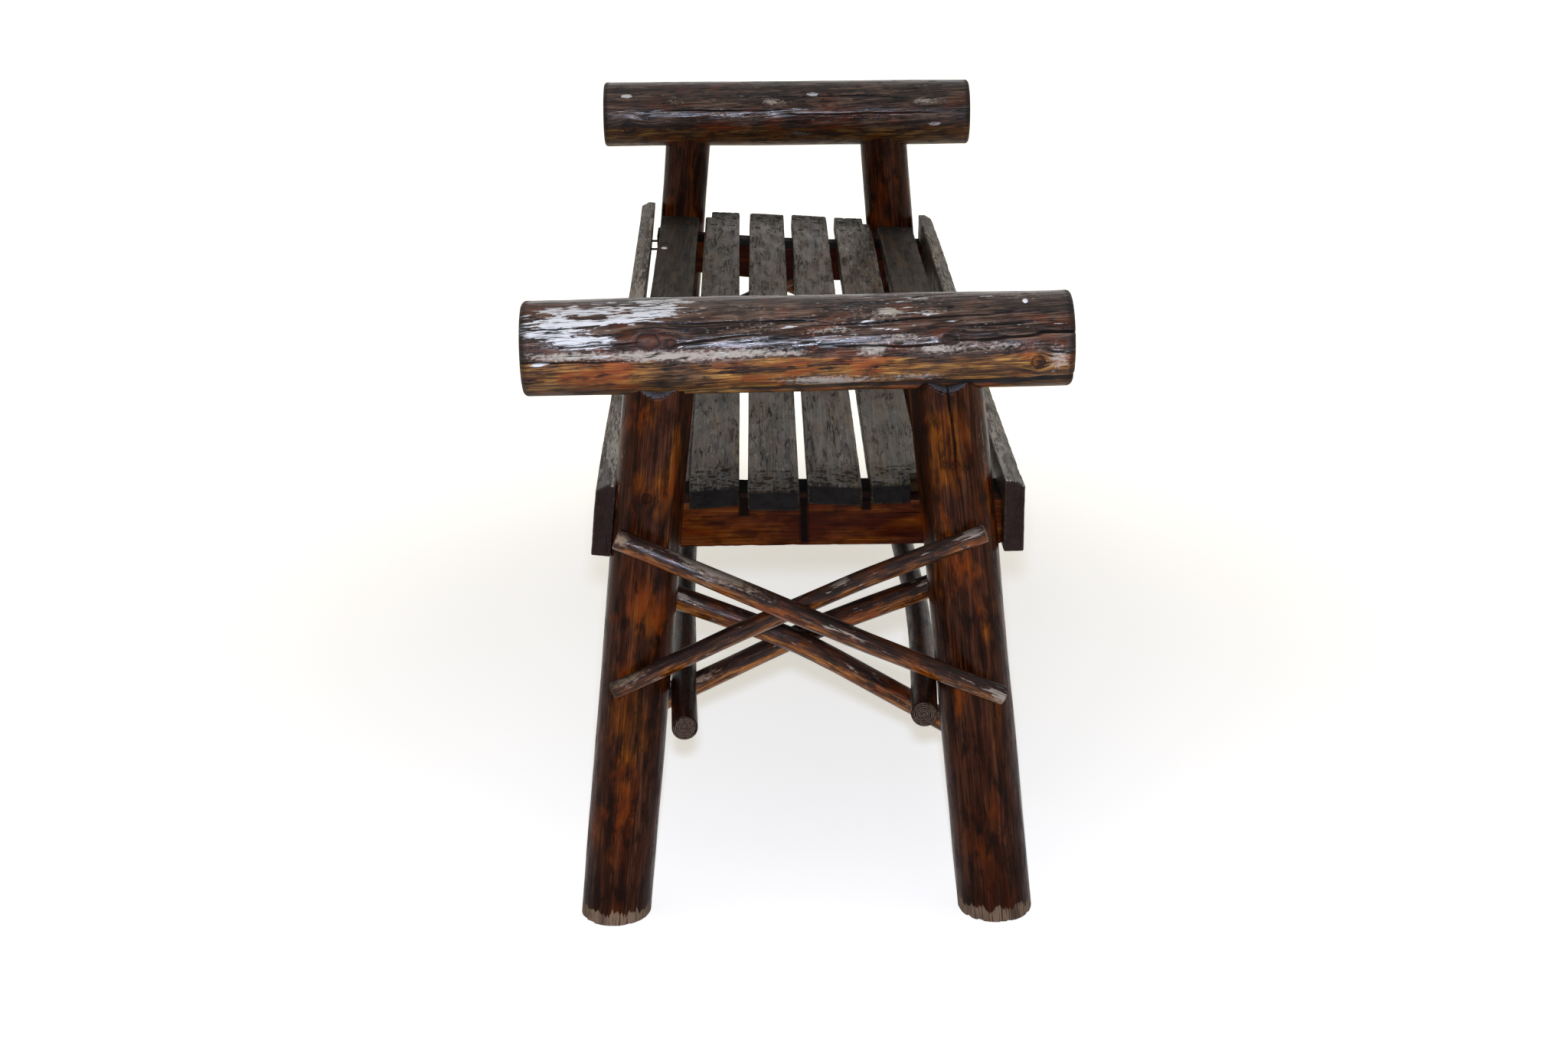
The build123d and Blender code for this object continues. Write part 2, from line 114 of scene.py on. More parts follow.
def bell(distance: Array) -> Array:
    """Round hump: 1 at distance 0 and almost nothing from 2 on."""
    return np.exp(-distance * distance)


def unit(vectors: Array) -> Array:
    """Vectors scaled to length 1 along their last axis."""
    return vectors / np.linalg.norm(vectors, axis=-1, keepdims=True)


def turned(angle: Array) -> Array:
    """Angle in radians brought to between minus and plus half a turn."""
    return (angle + np.pi) % (2.0 * np.pi) - np.pi


@dataclass(frozen=True)
class Noise:
    """Smooth random values between -1 and 1, the same for the same seed.

    Random numbers sit on a repeating lattice one unit apart. A point's value is blended from the
    eight around it, by the cubic 3t^2 - 2t^3 along each axis.
    """

    seed: int
    size: int = 32

    def at(self, points: Array) -> Array:
        """Read the noise.

        Args:
            points: Places in lattice units, shaped (..., 3).

        Returns:
            One value for each place.
        """
        lattice = np.random.default_rng(self.seed).uniform(-1.0, 1.0, (self.size,) * 3)
        cell = np.floor(points).astype(int)
        part = points - cell
        part = part * part * (3.0 - 2.0 * part)
        total = np.zeros(points.shape[:-1])
        for corner in product((0, 1), repeat=3):
            spot = (cell + corner) % self.size
            weight = np.prod(np.where(corner, part, 1.0 - part), axis=-1)
            total += weight * lattice[spot[..., 0], spot[..., 1], spot[..., 2]]
        return total

    def fibres(self, grain: Array, across: float, along: float, octaves: int = 2) -> Array:
        """Noise drawn out along the wood's grain.

        Args:
            grain: Places in the straight wood, in metres, the last axis along the fibres.
            across: Size of a feature across the grain, in metres.
            along: Size of a feature along it.
            octaves: How many layers are added, each half the size and strength of the last.

        Returns:
            One value for each place, about -1 to 1.
        """
        points = grain / np.array([across, across, along])
        layers = [self.at(points * 2 ** k + 7.3 * k) / 2 ** k for k in range(octaves)]
        return sum(layers) / (2.0 - 2.0 ** (1 - octaves))


def stations(length: float, coarse: float, fine: float = 0.0, zones: Iterable[Span] = ()) -> Array:
    """Space out the rings of a piece, closer together where there is something to show.

    Args:
        length: Length of the piece.
        coarse: Step between rings elsewhere.
        fine: Step between rings within the zones.
        zones: Stretches, from and to, that need the fine step.

    Returns:
        Distances from 0 to length: the inverse of the count of steps run through so far.
    """
    probe = np.linspace(0.0, length, 4000)
    step = np.full_like(probe, coarse)
    for low, high in zones:
        step = np.where((probe > low) & (probe < high), fine, step)
    passed = np.concatenate([[0.0], np.cumsum(np.diff(probe) / step[1:])])
    count = int(np.ceil(passed[-1])) + 1
    return np.interp(np.linspace(0.0, passed[-1], count), passed, probe)


def rounded_outline(corners: Sequence[Span], radius: float, counts: Sequence[int]) -> tuple[Array, Array]:
    """Closed outline with rounded corners.

    Each corner is moved in by the radius from both its edges. A point of the outline is such an
    inner point plus the radius times its normal, which turns evenly from edge to edge.

    Args:
        corners: Corners in order, anticlockwise.
        radius: Radius of the corners.
        counts: Points on the edge after each corner.

    Returns:
        Inner points and outward unit normals, each shaped (points, 2).
    """
    corner = np.array(corners)
    edge = unit(np.roll(corner, -1, axis=0) - corner)
    normal = np.stack([edge[:, 1], -edge[:, 0]], axis=1)
    before = np.roll(normal, 1, axis=0)
    inner = corner - radius * (before + normal) / (1.0 + np.sum(before * normal, axis=1, keepdims=True))
    places, normals = [], []
    for i, count in enumerate(counts):
        turn = np.linspace(0.0, 1.0, 5)[:, None]
        places.append(np.repeat(inner[i:i + 1], 5, axis=0))
        normals.append(unit(before[i] * (1.0 - turn) + normal[i] * turn))
        run = np.linspace(0.0, 1.0, count + 2)[1:-1, None]
        places.append(inner[i] * (1.0 - run) + inner[(i + 1) % len(inner)] * run)
        normals.append(np.repeat(normal[i:i + 1], count, axis=0))
    return np.concatenate(places), np.concatenate(normals)


def rectangle(half_across: float, half_up: float) -> list[Span]:
    """Corners of a rectangle about its middle, anticlockwise."""
    return [(x * half_across, z * half_up) for x, z in ((-1, -1), (1, -1), (1, 1), (-1, 1))]


def ring_rows(length: float, edge: float, body: Array, cap: Array, turns: int) -> tuple[Array, Array, Array]:
    """Where the rings of a piece lie.

    Cap rings grow out from the middle, a quarter circle rounds the edge, and the body follows.

    Args:
        length: Length of the piece.
        edge: Rounding of its ends.
        body: Distances of the rings between the two roundings.
        cap: Shares of the section of the rings on an end face.
        turns: Rings in a quarter circle.

    Returns:
        Distance along, inset from the surface, and share of the section, for each ring.
    """
    arc = np.linspace(0.0, 0.5 * np.pi, turns)
    rise, inset = edge * (1.0 - np.cos(arc)), edge * (1.0 - np.sin(arc))
    along = np.concatenate([0 * cap, rise, body, length - rise[::-1], length + 0 * cap])
    inset = np.concatenate([edge + 0 * cap, inset, 0 * body, inset[::-1], edge + 0 * cap])
    share = np.concatenate([cap, 1 + 0 * arc, 1 + 0 * body, 1 + 0 * arc, cap[::-1]])
    return along, inset, share


@dataclass
class Skin:
    """A closed surface: rings of points carried along a piece, shut by a pole at each end.

    Attributes:
        points: Places shaped (rings, around, 3).
        grain: The same points' places in the straight wood.
        marks: Values shaped (rings, around), by name, mostly between 0 and 1.
    """

    points: Array
    grain: Array
    marks: dict[str, Array]

    def with_poles(self, values: Array) -> Array:
        """Flat list of a ring array's values, then the means of its first and last rings.

        Args:
            values: Values shaped (rings, around) or (rings, around, 3).

        Returns:
            The values row by row, then the two means, for the poles.
        """
        rows = values.reshape(-1, *values.shape[2:])
        ends = np.stack([values[0].mean(axis=0), values[-1].mean(axis=0)])
        return np.concatenate([rows, ends])

    def outward(self) -> bool:
        """Whether the rings as they stand give faces that point out of the piece.

        Returns:
            True if they do, as read off the middle ring.
        """
        middle = len(self.points) // 2
        ring, following = self.points[middle], self.points[middle + 1]
        across = np.cross(np.roll(ring, -1, axis=0) - ring, following - ring)
        return float(np.sum(across * (ring - ring.mean(axis=0)))) > 0.0

    def build(self, name: str, material: bpy.types.Material) -> bpy.types.Object:
        """Make the mesh.

        Args:
            name: Name of the new object.
            material: Its finish.

        Returns:
            The object, which rides on the bench.
        """
        rings, around = self.points.shape[:2]
        index = np.arange(rings * around).reshape(rings, around)
        index = index if self.outward() else index[:, ::-1]
        low, high = index[:-1], index[1:]
        quads = np.stack([low, np.roll(low, -1, 1), np.roll(high, -1, 1), high], axis=-1).reshape(-1, 4)
        first, last = index[0], index[-1]
        pole = np.full(around, rings * around)
        start_cap = np.stack([pole, np.roll(first, -1), first], axis=-1)
        end_cap = np.stack([pole + 1, last, np.roll(last, -1)], axis=-1)
        triangles = np.concatenate([start_cap, end_cap])
        mesh = bpy.data.meshes.new(name)
        fill_mesh(mesh, self.with_poles(self.points), quads, triangles)
        place = mesh.attributes.new("grain", "FLOAT_VECTOR", "POINT")
        place.data.foreach_set("vector", self.with_poles(self.grain).astype(np.float32).ravel())
        for mark, values in self.marks.items():
            layer = mesh.attributes.new(mark, "FLOAT", "POINT")
            layer.data.foreach_set("value", self.with_poles(values).astype(np.float32))
        piece = bpy.data.objects.new(name, mesh)
        bpy.context.scene.collection.objects.link(piece)
        mesh.materials.append(material)
        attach(piece, "root")
        return piece


def fill_mesh(mesh: bpy.types.Mesh, points: Array, quads: Array, triangles: Array) -> None:
    """Put points and faces into an empty mesh, shaded smooth.

    Args:
        mesh: Mesh to fill.
        points: Places, shaped (n, 3).
        quads: Corners of the four-sided faces, shaped (n, 4).
        triangles: Corners of the three-sided faces, shaped (n, 3).
    """
    corners = np.concatenate([quads.ravel(), triangles.ravel()]).astype(np.int32)
    starts = np.concatenate([np.arange(len(quads)) * 4, len(quads) * 4 + np.arange(len(triangles)) * 3])
    mesh.vertices.add(len(points))
    mesh.vertices.foreach_set("co", points.astype(np.float32).ravel())
    mesh.loops.add(len(corners))
    mesh.loops.foreach_set("vertex_index", corners)
    mesh.polygons.add(len(starts))
    mesh.polygons.foreach_set("loop_start", starts.astype(np.int32))
    mesh.update(calc_edges=True)
    mesh.polygons.foreach_set("use_smooth", np.ones(len(starts), bool))
    mesh.update()


# ---------------------------------------------------------------- finishes


def linear(colour: str) -> tuple[float, float, float, float]:
    """Turn an sRGB hex colour into the linear values that a shader takes.

    Args:
        colour: Six hex digits after a #.

    Returns:
        Red, green, blue and an alpha of 1.
    """
    parts = np.array([int(colour[i:i + 2], 16) for i in (1, 3, 5)]) / 255.0
    parts = np.where(parts <= 0.04045, parts / 12.92, ((parts + 0.055) / 1.055) ** 2.4)
    return (*parts.tolist(), 1.0)


@dataclass
class Recipe:
    """The node tree of a material or a world while it is being put together."""

    owner: bpy.types.Material | bpy.types.World

    def __post_init__(self) -> None:
        """Start an empty tree."""
        self.owner.use_nodes = True
        self.owner.node_tree.nodes.clear()

    def add(self, kind: str, inputs: dict[Any, Any], output: Any = 0, **settings: Any) -> Any:
        """Add a node with its settings and links.

        Args:
            kind: Node type, without the word ShaderNode.
            inputs: Value or socket for each input, by name or number.
            output: Output to hand back, by name or number.
            settings: Properties of the node; "stops" holds a colour ramp's places and hex colours.

        Returns:
            The chosen output socket, or nothing for the last node.
        """
        node = self.owner.node_tree.nodes.new("ShaderNode" + kind)
        for spot, (place, shade) in enumerate(settings.pop("stops", ())):
            elements = node.color_ramp.elements
            element = elements[spot] if spot < 2 else elements.new(place)
            element.position = place
            element.color = linear(shade)
        for setting, value in settings.items():
            setattr(node, setting, value)
        for key, value in inputs.items():
            if isinstance(value, bpy.types.NodeSocket):
                self.owner.node_tree.links.new(value, node.inputs[key])
            else:
                node.inputs[key].default_value = value
        return node.outputs[output] if node.outputs else None

    def streaks(self, grain: Any, across: float, along: float, detail: float, twist: float = 0.0) -> Any:
        """Noise drawn out along the grain.

        Args:
            grain: Socket with the place in the straight wood, in metres.
            across: Size of a streak across the grain, in millimetres.
            along: Size of a streak along it.
            detail: Layers of finer noise.
            twist: How far the streaks wander.

        Returns:
            The noise value, about 0.2 to 0.8.
        """
        scale = (1.0 / (across * MM), 1.0 / (across * MM), 1.0 / (along * MM))
        place = self.add("Mapping", {"Vector": grain, "Scale": scale})
        levels = {"Vector": place, "Scale": 1.0, "Detail": detail, "Roughness": 0.62, "Distortion": twist}
        return self.add("TexNoise", levels)

    def seen(self) -> Any:
        """Socket that is 1 for what the camera sees, straight, mirrored or through glass, and 0 as light.

        Returns:
            The socket.
        """
        rays = [
            self.add("LightPath", {}, ray)
            for ray in ("Is Camera Ray", "Is Glossy Ray", "Is Transmission Ray")
        ]
        either = self.add("Math", {0: rays[0], 1: rays[1]}, operation="MAXIMUM")
        return self.add("Math", {0: either, 1: rays[2]}, operation="MAXIMUM")


DIRT = "#060403"             # what fills checks and joints
RING_WIDTH = 2.4             # growth ring, in millimetres
# Sizes of patterns across and along the grain, in millimetres.
BLOTCH = (26.0, 70.0)        # where stained wood gives way to amber
SPECK = (2.4, 4.5)           # film that has gone blind, and the painted reflection on the legs' facet
FLAKE = (2.9, 21.0)          # finish that has come away
CHECK_WAVE = (6.0, 110.0)    # course of the fine checks


@dataclass(frozen=True)
class WoodFinish:
    """Colours, sheen and grain of one stained, varnished or weathered wood.

    Attributes:
        name: The real finish.
        deep: Pores, latewood and soaked-in dirt.
        body: Most of the face.
        light: Earlywood, where the stain is thin.
        honey: Dark, middle and light tone of clear varnish over bare sapwood.
        ember: Where that varnish is thick and glows red.
        bare: Fibres where the finish has gone.
        chalk: Speckled film that has gone blind and crazed; on the legs' facet under the arm log, a painted
            reflection.
        end: End grain.
        fibre: Width of one fibre streak, in millimetres.
        streak: Length of a fibre streak, in millimetres.
        mottle: Width of the dark mottling, in millimetres.
        stretch: How many times as long as wide the mottling is.
        grime: How much of the face the mottling darkens.
        sheen: Roughness of the sound finish.
        matt: Roughness of bare wood.
        ior: Index of refraction: under varnish's 1.5, because dirt and weather have dulled the film.
        span: How far the grain noise runs from the body tone to the deep one: small for strong grain.
        relief: Height of the fibres, in millimetres.
        worn: Share of the face where the finish has gone without any mark.
        lines: Strength of the fine drying checks.
    """

    name: str
    deep: str
    body: str
    light: str
    honey: tuple[str, str, str]
    ember: str
    bare: str
    end: str
    chalk: str = "#a8a090"
    fibre: float = 1.1
    streak: float = 42.0
    mottle: float = 16.0
    stretch: float = 2.6
    grime: float = 0.5
    sheen: float = 0.34
    matt: float = 0.72
    ior: float = 1.25
    span: float = 0.12
    relief: float = 0.35
    worn: float = 0.0
    lines: float = 0.7

    def material(self) -> bpy.types.Material:
        """Build the material.

        Streaks of noise drawn out along the grain give the fibres and growth rings; a broad one
        moves between stained and amber wood; a flaky one, lifted by the mark "bare", takes the
        finish off, and a speckled one, lifted by the mark "chalk", turns it blind and,
        on a leg's facet, paints a grey reflection; thin lines where a long noise crosses its middle are
        drying checks.

        Returns:
            The finished material.
        """
        recipe = Recipe(bpy.data.materials.new(self.name))
        add = recipe.add
        grain = add("Attribute", {}, "Vector", attribute_name="grain")
        bare, amber, dark, knot, chalk, end = (
            add("Attribute", {}, "Fac", attribute_name=mark)
            for mark in ("bare", "amber", "dark", "knot", "chalk", "end")
        )

        # Fibres and growth rings set the tone, between stained and clear wood.
        fine = recipe.streaks(grain, self.fibre, self.streak, 5.0)
        growth = recipe.streaks(grain, 5.0 * self.fibre, 2.6 * self.streak, 3.0, 0.6)
        blotch = recipe.streaks(grain, *BLOTCH, 3.0, 0.4)
        half = add("Math", {0: growth, 1: 0.47}, operation="MULTIPLY")
        tone = add("Math", {0: fine, 1: 0.53, 2: half}, operation="MULTIPLY_ADD")
        low, high = 0.5 - self.span, 0.5 + 1.15 * self.span
        stained = add("ValToRGB", {0: tone}, stops=[(low, self.deep), (0.5, self.body), (high, self.light)])
        honey = list(zip((low, 0.5, high), self.honey))
        clear = add("ValToRGB", {0: tone}, stops=honey)
        glowing = add("MapRange", {0: blotch, 1: 0.5, 2: 0.64, 4: 0.7}, interpolation_type="SMOOTHSTEP")
        clear = add("Mix", {0: glowing, 6: clear, 7: linear(self.ember)}, 2, data_type="RGBA")
        faint = add("Math", {0: glowing, 1: 0.3}, operation="MULTIPLY")
        stained = add("Mix", {0: faint, 6: stained, 7: linear(self.ember)}, 2, data_type="RGBA")
        wander = add("Math", {0: blotch, 1: 2.2, 2: -1.1}, operation="MULTIPLY_ADD")
        warmth = add("Math", {0: amber, 1: wander}, operation="ADD")
        clearness = add("MapRange", {0: warmth, 1: 0.1, 2: 0.9}, interpolation_type="SMOOTHSTEP")
        colour = add("Mix", {0: clearness, 6: stained, 7: clear}, 2, data_type="RGBA")

        # Dirt and thick stain lie in soft dark mottling.
        soil = recipe.streaks(grain, self.mottle, self.stretch * self.mottle, 6.0, 0.3)
        soiled = add("MapRange", {0: soil, 1: 0.46, 2: 0.66, 4: self.grime}, interpolation_type="SMOOTHSTEP")
        colour = add("Mix", {0: soiled, 6: colour, 7: linear(self.deep)}, 2, data_type="RGBA")

        # Weather turns the film blind in a fine speckle; on a leg's facet under the arm log the same speckle
        # paints a grey reflection.
        speck = recipe.streaks(grain, *SPECK, 4.0)
        blind_and_reflection_level = add("Math", {0: chalk, 1: 0.5, 2: speck}, operation="MULTIPLY_ADD")
        blind_and_reflection = add("MapRange", {0: blind_and_reflection_level, 1: 0.66, 2: 0.98, 4: 0.9}, interpolation_type="SMOOTHSTEP")
        colour = add("Mix", {0: blind_and_reflection, 6: colour, 7: linear(self.chalk)}, 2, data_type="RGBA")

        # Flakes of finish come away and leave bare fibres.
        flakes = recipe.streaks(grain, *FLAKE, 7.0, 0.4)
        bareness = add("Math", {0: bare, 1: 0.55, 2: self.worn}, operation="MULTIPLY_ADD")
        patchy = add("Math", {0: flakes, 1: bareness}, operation="ADD")
        gone = add("MapRange", {0: patchy, 1: 0.72, 2: 0.77}, interpolation_type="SMOOTHSTEP")
        raised = add("MapRange", {0: fine, 1: 0.36, 2: 0.48}, interpolation_type="SMOOTHSTEP")
        fibrous = add("Math", {0: gone, 1: raised}, operation="MULTIPLY")
        colour = add("Mix", {0: fibrous, 6: colour, 7: linear(self.bare)}, 2, data_type="RGBA")

        # A knot is a thin dark rim round a disc a little darker than the wood.
        rim = [(0.0, "#ffffff"), (0.6, "#ffffff"), (0.655, "#3c302a"), (0.685, "#8a786c"), (0.73, "#ece0d4")]
        ringed = add("ValToRGB", {0: knot}, stops=[*rim, (0.9, "#d8c8b8"), (0.98, "#a89684")])
        knotted = {0: 1.0, 6: colour, 7: ringed}
        colour = add("Mix", knotted, 2, data_type="RGBA", blend_type="MULTIPLY")

        # End grain: rings round the pith.
        flat = add("VectorMath", {0: grain, 1: (1.0, 1.0, 0.0)}, operation="MULTIPLY")
        reach = add("VectorMath", {0: flat}, "Value", operation="LENGTH")
        waver = add("Math", {0: blotch, 1: 9.0}, operation="MULTIPLY")
        per_metre = 2.0 * np.pi / (RING_WIDTH * MM)
        turns = add("Math", {0: reach, 1: per_metre, 2: waver}, operation="MULTIPLY_ADD")
        ring = add("Math", {0: turns}, operation="SINE")
        mottle = add("Math", {0: flakes, 1: 0.8, 2: 0.1}, operation="MULTIPLY_ADD")
        rings = add("Math", {0: ring, 1: 0.16, 2: mottle}, operation="MULTIPLY_ADD")
        sawn = add("ValToRGB", {0: rings}, stops=[(0.3, self.deep), (0.62, self.end)])
        colour = add("Mix", {0: end, 6: colour, 7: sawn}, 2, data_type="RGBA")

        # Fine checks open along lines, here and there.
        waves = recipe.streaks(grain, *CHECK_WAVE, 2.0, 0.2)
        offset = add("Math", {0: waves, 1: 0.5}, operation="SUBTRACT")
        distance = add("Math", {0: offset}, operation="ABSOLUTE")
        line = add("MapRange", {0: distance, 1: 0.026, 2: 0.006}, interpolation_type="SMOOTHSTEP")
        opening = {0: soil, 1: 0.42, 2: 0.56, 4: self.lines}
        open_part = add("MapRange", opening, interpolation_type="SMOOTHSTEP")
        check = add("Math", {0: line, 1: open_part}, operation="MULTIPLY")
        darkness = add("Math", {0: dark, 1: check}, operation="MAXIMUM")
        shade = add("Math", {0: darkness, 1: 0.95}, operation="MULTIPLY")
        colour = add("Mix", {0: shade, 6: colour, 7: linear(DIRT)}, 2, data_type="RGBA")

        # Sound finish shines; bare wood, end grain and cracks are dull.
        sawn_or_cracked = add("Math", {0: end, 1: darkness}, operation="MAXIMUM")
        worn = add("Math", {0: gone, 1: blind_and_reflection}, operation="MAXIMUM")
        cut_branch = add("MapRange", {0: knot, 1: 0.4, 2: 0.62, 4: 0.8}, interpolation_type="SMOOTHSTEP")
        dull = add("Math", {0: worn, 1: sawn_or_cracked}, operation="MAXIMUM")
        dull = add("Math", {0: dull, 1: cut_branch}, operation="MAXIMUM")
        base = add("MapRange", {0: dull, 3: self.sheen, 4: self.matt})
        uneven = add("Math", {0: soil, 1: 0.6, 2: -0.3}, operation="MULTIPLY_ADD")
        roughness = add("Math", {0: base, 1: uneven}, operation="ADD")
        ridges = add("Math", {0: growth, 1: 0.7, 2: fine}, operation="MULTIPLY_ADD")
        film = add("Math", {0: gone, 1: -0.35, 2: ridges}, operation="MULTIPLY_ADD")
        height = add("Math", {0: darkness, 1: -1.6, 2: film}, operation="MULTIPLY_ADD")
        normal = add("Bump", {"Height": height, "Distance": self.relief * MM, "Strength": 1.0})
        surface = {"Base Color": colour, "Roughness": roughness, "Normal": normal, "IOR": self.ior}
        add("OutputMaterial", {"Surface": add("BsdfPrincipled", surface)})
        return recipe.owner


# Spar varnish over brown stain on a peeled log: dark umber, amber where it is clear, grey flakes.
ARM_LOG = WoodFinish(
    "worn_spar_varnished_pine_log",
    deep="#110705", body="#3c271d", light="#745c4c", honey=("#32180a", "#804e1b", "#c48e45"),
    ember="#8e3c08", bare="#e0deda", end="#4a3526", chalk="#b4a898", fibre=1.2, streak=32.0, mottle=9.0,
    grime=0.72, sheen=0.17, ior=1.28, span=0.075, relief=0.15, lines=1.0,
)
# The same varnish on the legs has kept its gloss: red brown with upright grain and orange glow.
# Its grey chalk colour paints a reflection on the facet under the arm log.
LEG = WoodFinish(
    "stained_varnished_pine_pole",
    deep="#0e0300", body="#341506", light="#573422", honey=("#361403", "#663207", "#905612"),
    ember="#702c04", bare="#846c56", end="#4a3322", chalk="#77767a", fibre=1.2, streak=48.0, mottle=11.0,
    stretch=2.8, grime=0.82, sheen=0.2, ior=1.13, span=0.13, relief=0.2, lines=0.45,
)
# Mahogany stained rail: redder and darker, its grain level.
RAIL = WoodFinish(
    "mahogany_stained_pine_rail",
    deep="#130300", body="#310c02", light="#451805", honey=("#381404", "#562707", "#84501a"),
    ember="#4c1602", bare="#8c7360", end="#1d100a", fibre=1.1, streak=60.0, mottle=9.0, stretch=2.4,
    grime=0.6, sheen=0.25, ior=1.1, span=0.16, relief=0.15, lines=0.2,
)
# Weathered stain on the sawn slats: matt grey brown with raised fibres and black ends.
SLAT = WoodFinish(
    "weathered_stained_spruce_slat",
    deep="#120d08", body="#392e20", light="#5d5240", honey=("#261a0b", "#422d14", "#5c492a"),
    ember="#3e260b", bare="#77736a", end="#0b0707", chalk="#7c766a", fibre=1.0, streak=80.0,
    mottle=12.0, stretch=4.0, grime=0.55, sheen=0.42, matt=0.75, ior=1.2, span=0.075, relief=0.3, lines=1.0,
)
# Sawn boards, weathered to grey along the top.
BOARD = WoodFinish(
    "weathered_stained_spruce_board",
    deep="#191210", body="#3b3027", light="#5f5549", honey=("#2e1f0e", "#4a351e", "#685232"),
    ember="#4e3118", bare="#aaa397", end="#2a1913", fibre=0.9, grime=0.4, sheen=0.48, matt=0.8, ior=1.22,
    span=0.1, relief=0.3, lines=0.5,
)
# Peeled branches under glossy varnish, scuffed on their high spots and raw at the ends.
ROD = WoodFinish(
    "varnished_hazel_rod",
    deep="#0a0301", body="#2b120a", light="#5a3420", honey=("#2e1003", "#7a3e0e", "#b27434"),
    ember="#7c3606", bare="#988878", end="#a58a6c", chalk="#907860", fibre=0.9, streak=22.0, mottle=7.0,
    grime=0.75, sheen=0.12, ior=1.25, span=0.08, relief=0.2, worn=0.09, lines=0.5,
)
POLE = WoodFinish(
    "varnished_hazel_pole",
    deep="#0c0402", body="#22100a", light="#3a2014", honey=("#2c1406", "#5a3410", "#7c5020"),
    ember="#5a2c08", bare="#8c7868", end="#57463a", fibre=0.9, streak=36.0, mottle=14.0, grime=0.6,
    sheen=0.3, ior=1.1, relief=0.2, lines=0.35,
)
SLOTS = {
    ARM_LOG.name: "arm_log_wood",
    LEG.name: "leg_wood",
    RAIL.name: "rail_wood",
    SLAT.name: "slat_wood",
    BOARD.name: "board_wood",
    ROD.name: "brace_wood",
    POLE.name: "pole_wood",
}


@dataclass(frozen=True)
class MetalFinish:
    """Rusted steel of nails, screws and washers: brown black, with a little shine left."""

    name: str = "rusted_steel"
    dark: str = "#1b1512"
    rust: str = "#4a2a18"
    grit: float = 0.9
    roughness: float = 0.6

    def material(self) -> bpy.types.Material:
        """Build the material: specks of rust from noise on the object's own coordinates.

        Returns:
            The finished material.
        """
        recipe = Recipe(bpy.data.materials.new(self.name))
        place = recipe.add("TexCoord", {}, "Object")
        scale = 1.0 / (self.grit * MM)
        speck = recipe.add("TexNoise", {"Vector": place, "Scale": scale, "Detail": 3.0})
        colour = recipe.add("ValToRGB", {0: speck}, stops=[(0.4, self.dark), (0.62, self.rust)])
        normal = recipe.add("Bump", {"Height": speck, "Distance": 0.1 * MM})
        surface = {"Base Color": colour, "Normal": normal, "Metallic": 0.6, "Roughness": self.roughness}
        recipe.add("OutputMaterial", {"Surface": recipe.add("BsdfPrincipled", surface)})
        return recipe.owner


@dataclass(frozen=True)
class PaintFinish:
    """White gloss wall paint, dried in drops: bright, with a soft shine."""

    name: str = "white_alkyd_paint"
    shade: str = "#e4e4e0"
    bright: str = "#f6f6f4"
    cloud: float = 1.5
    roughness: float = 0.35

    def material(self) -> bpy.types.Material:
        """Build the material: faint clouds of noise on the object's own coordinates.

        Returns:
            The finished material.
        """
        recipe = Recipe(bpy.data.materials.new(self.name))
        place = recipe.add("TexCoord", {}, "Object")
        cloud = recipe.add("TexNoise", {"Vector": place, "Scale": 1.0 / (self.cloud * MM), "Detail": 2.0})
        colour = recipe.add("ValToRGB", {0: cloud}, stops=[(0.4, self.shade), (0.6, self.bright)])
        surface = recipe.add("BsdfPrincipled", {"Base Color": colour, "Roughness": self.roughness})
        recipe.add("OutputMaterial", {"Surface": surface})
        return recipe.owner


# ---------------------------------------------------------------- features of the wood


@dataclass(frozen=True)
class Check:
    """A drying crack along a log.

    Attributes:
        course: Points that it runs through: millimetres along the log, and degrees round it. A
            course that goes on past the log's end stays open there.
        width: Width at its middle, in millimetres.
        depth: Depth at its middle, in millimetres.
    """

    course: Sequence[Span]
    width: float
    depth: float

    def groove(self, angle: Array, along: Array, radius: float) -> Array:
        """Share of its depth: a bell across the crack, times a half ellipse along it.

        Args:
            angle: Angles round the log, in radians.
            along: Distances along it.
            radius: Radius of the log.

        Returns:
            Values from 0 to 1.
        """
        spots, turns = np.array(self.course).T
        run = (along / MM - spots[0]) / (spots[-1] - spots[0])
        taper = np.sqrt(np.clip(4.0 * run * (1.0 - run), 0.0, 1.0))
        line = np.stack([0 * run + spots[0], 0 * run, along], axis=-1)
        wander = Noise(5).fibres(line, 1.0, 18 * MM, 3)
        middle = np.radians(np.interp(along / MM, spots, turns)) + 1.3 * MM / radius * wander
        across = turned(angle - middle) * radius
        return taper * bell(across / (0.5 * self.width * MM * (0.3 + 0.7 * taper)))


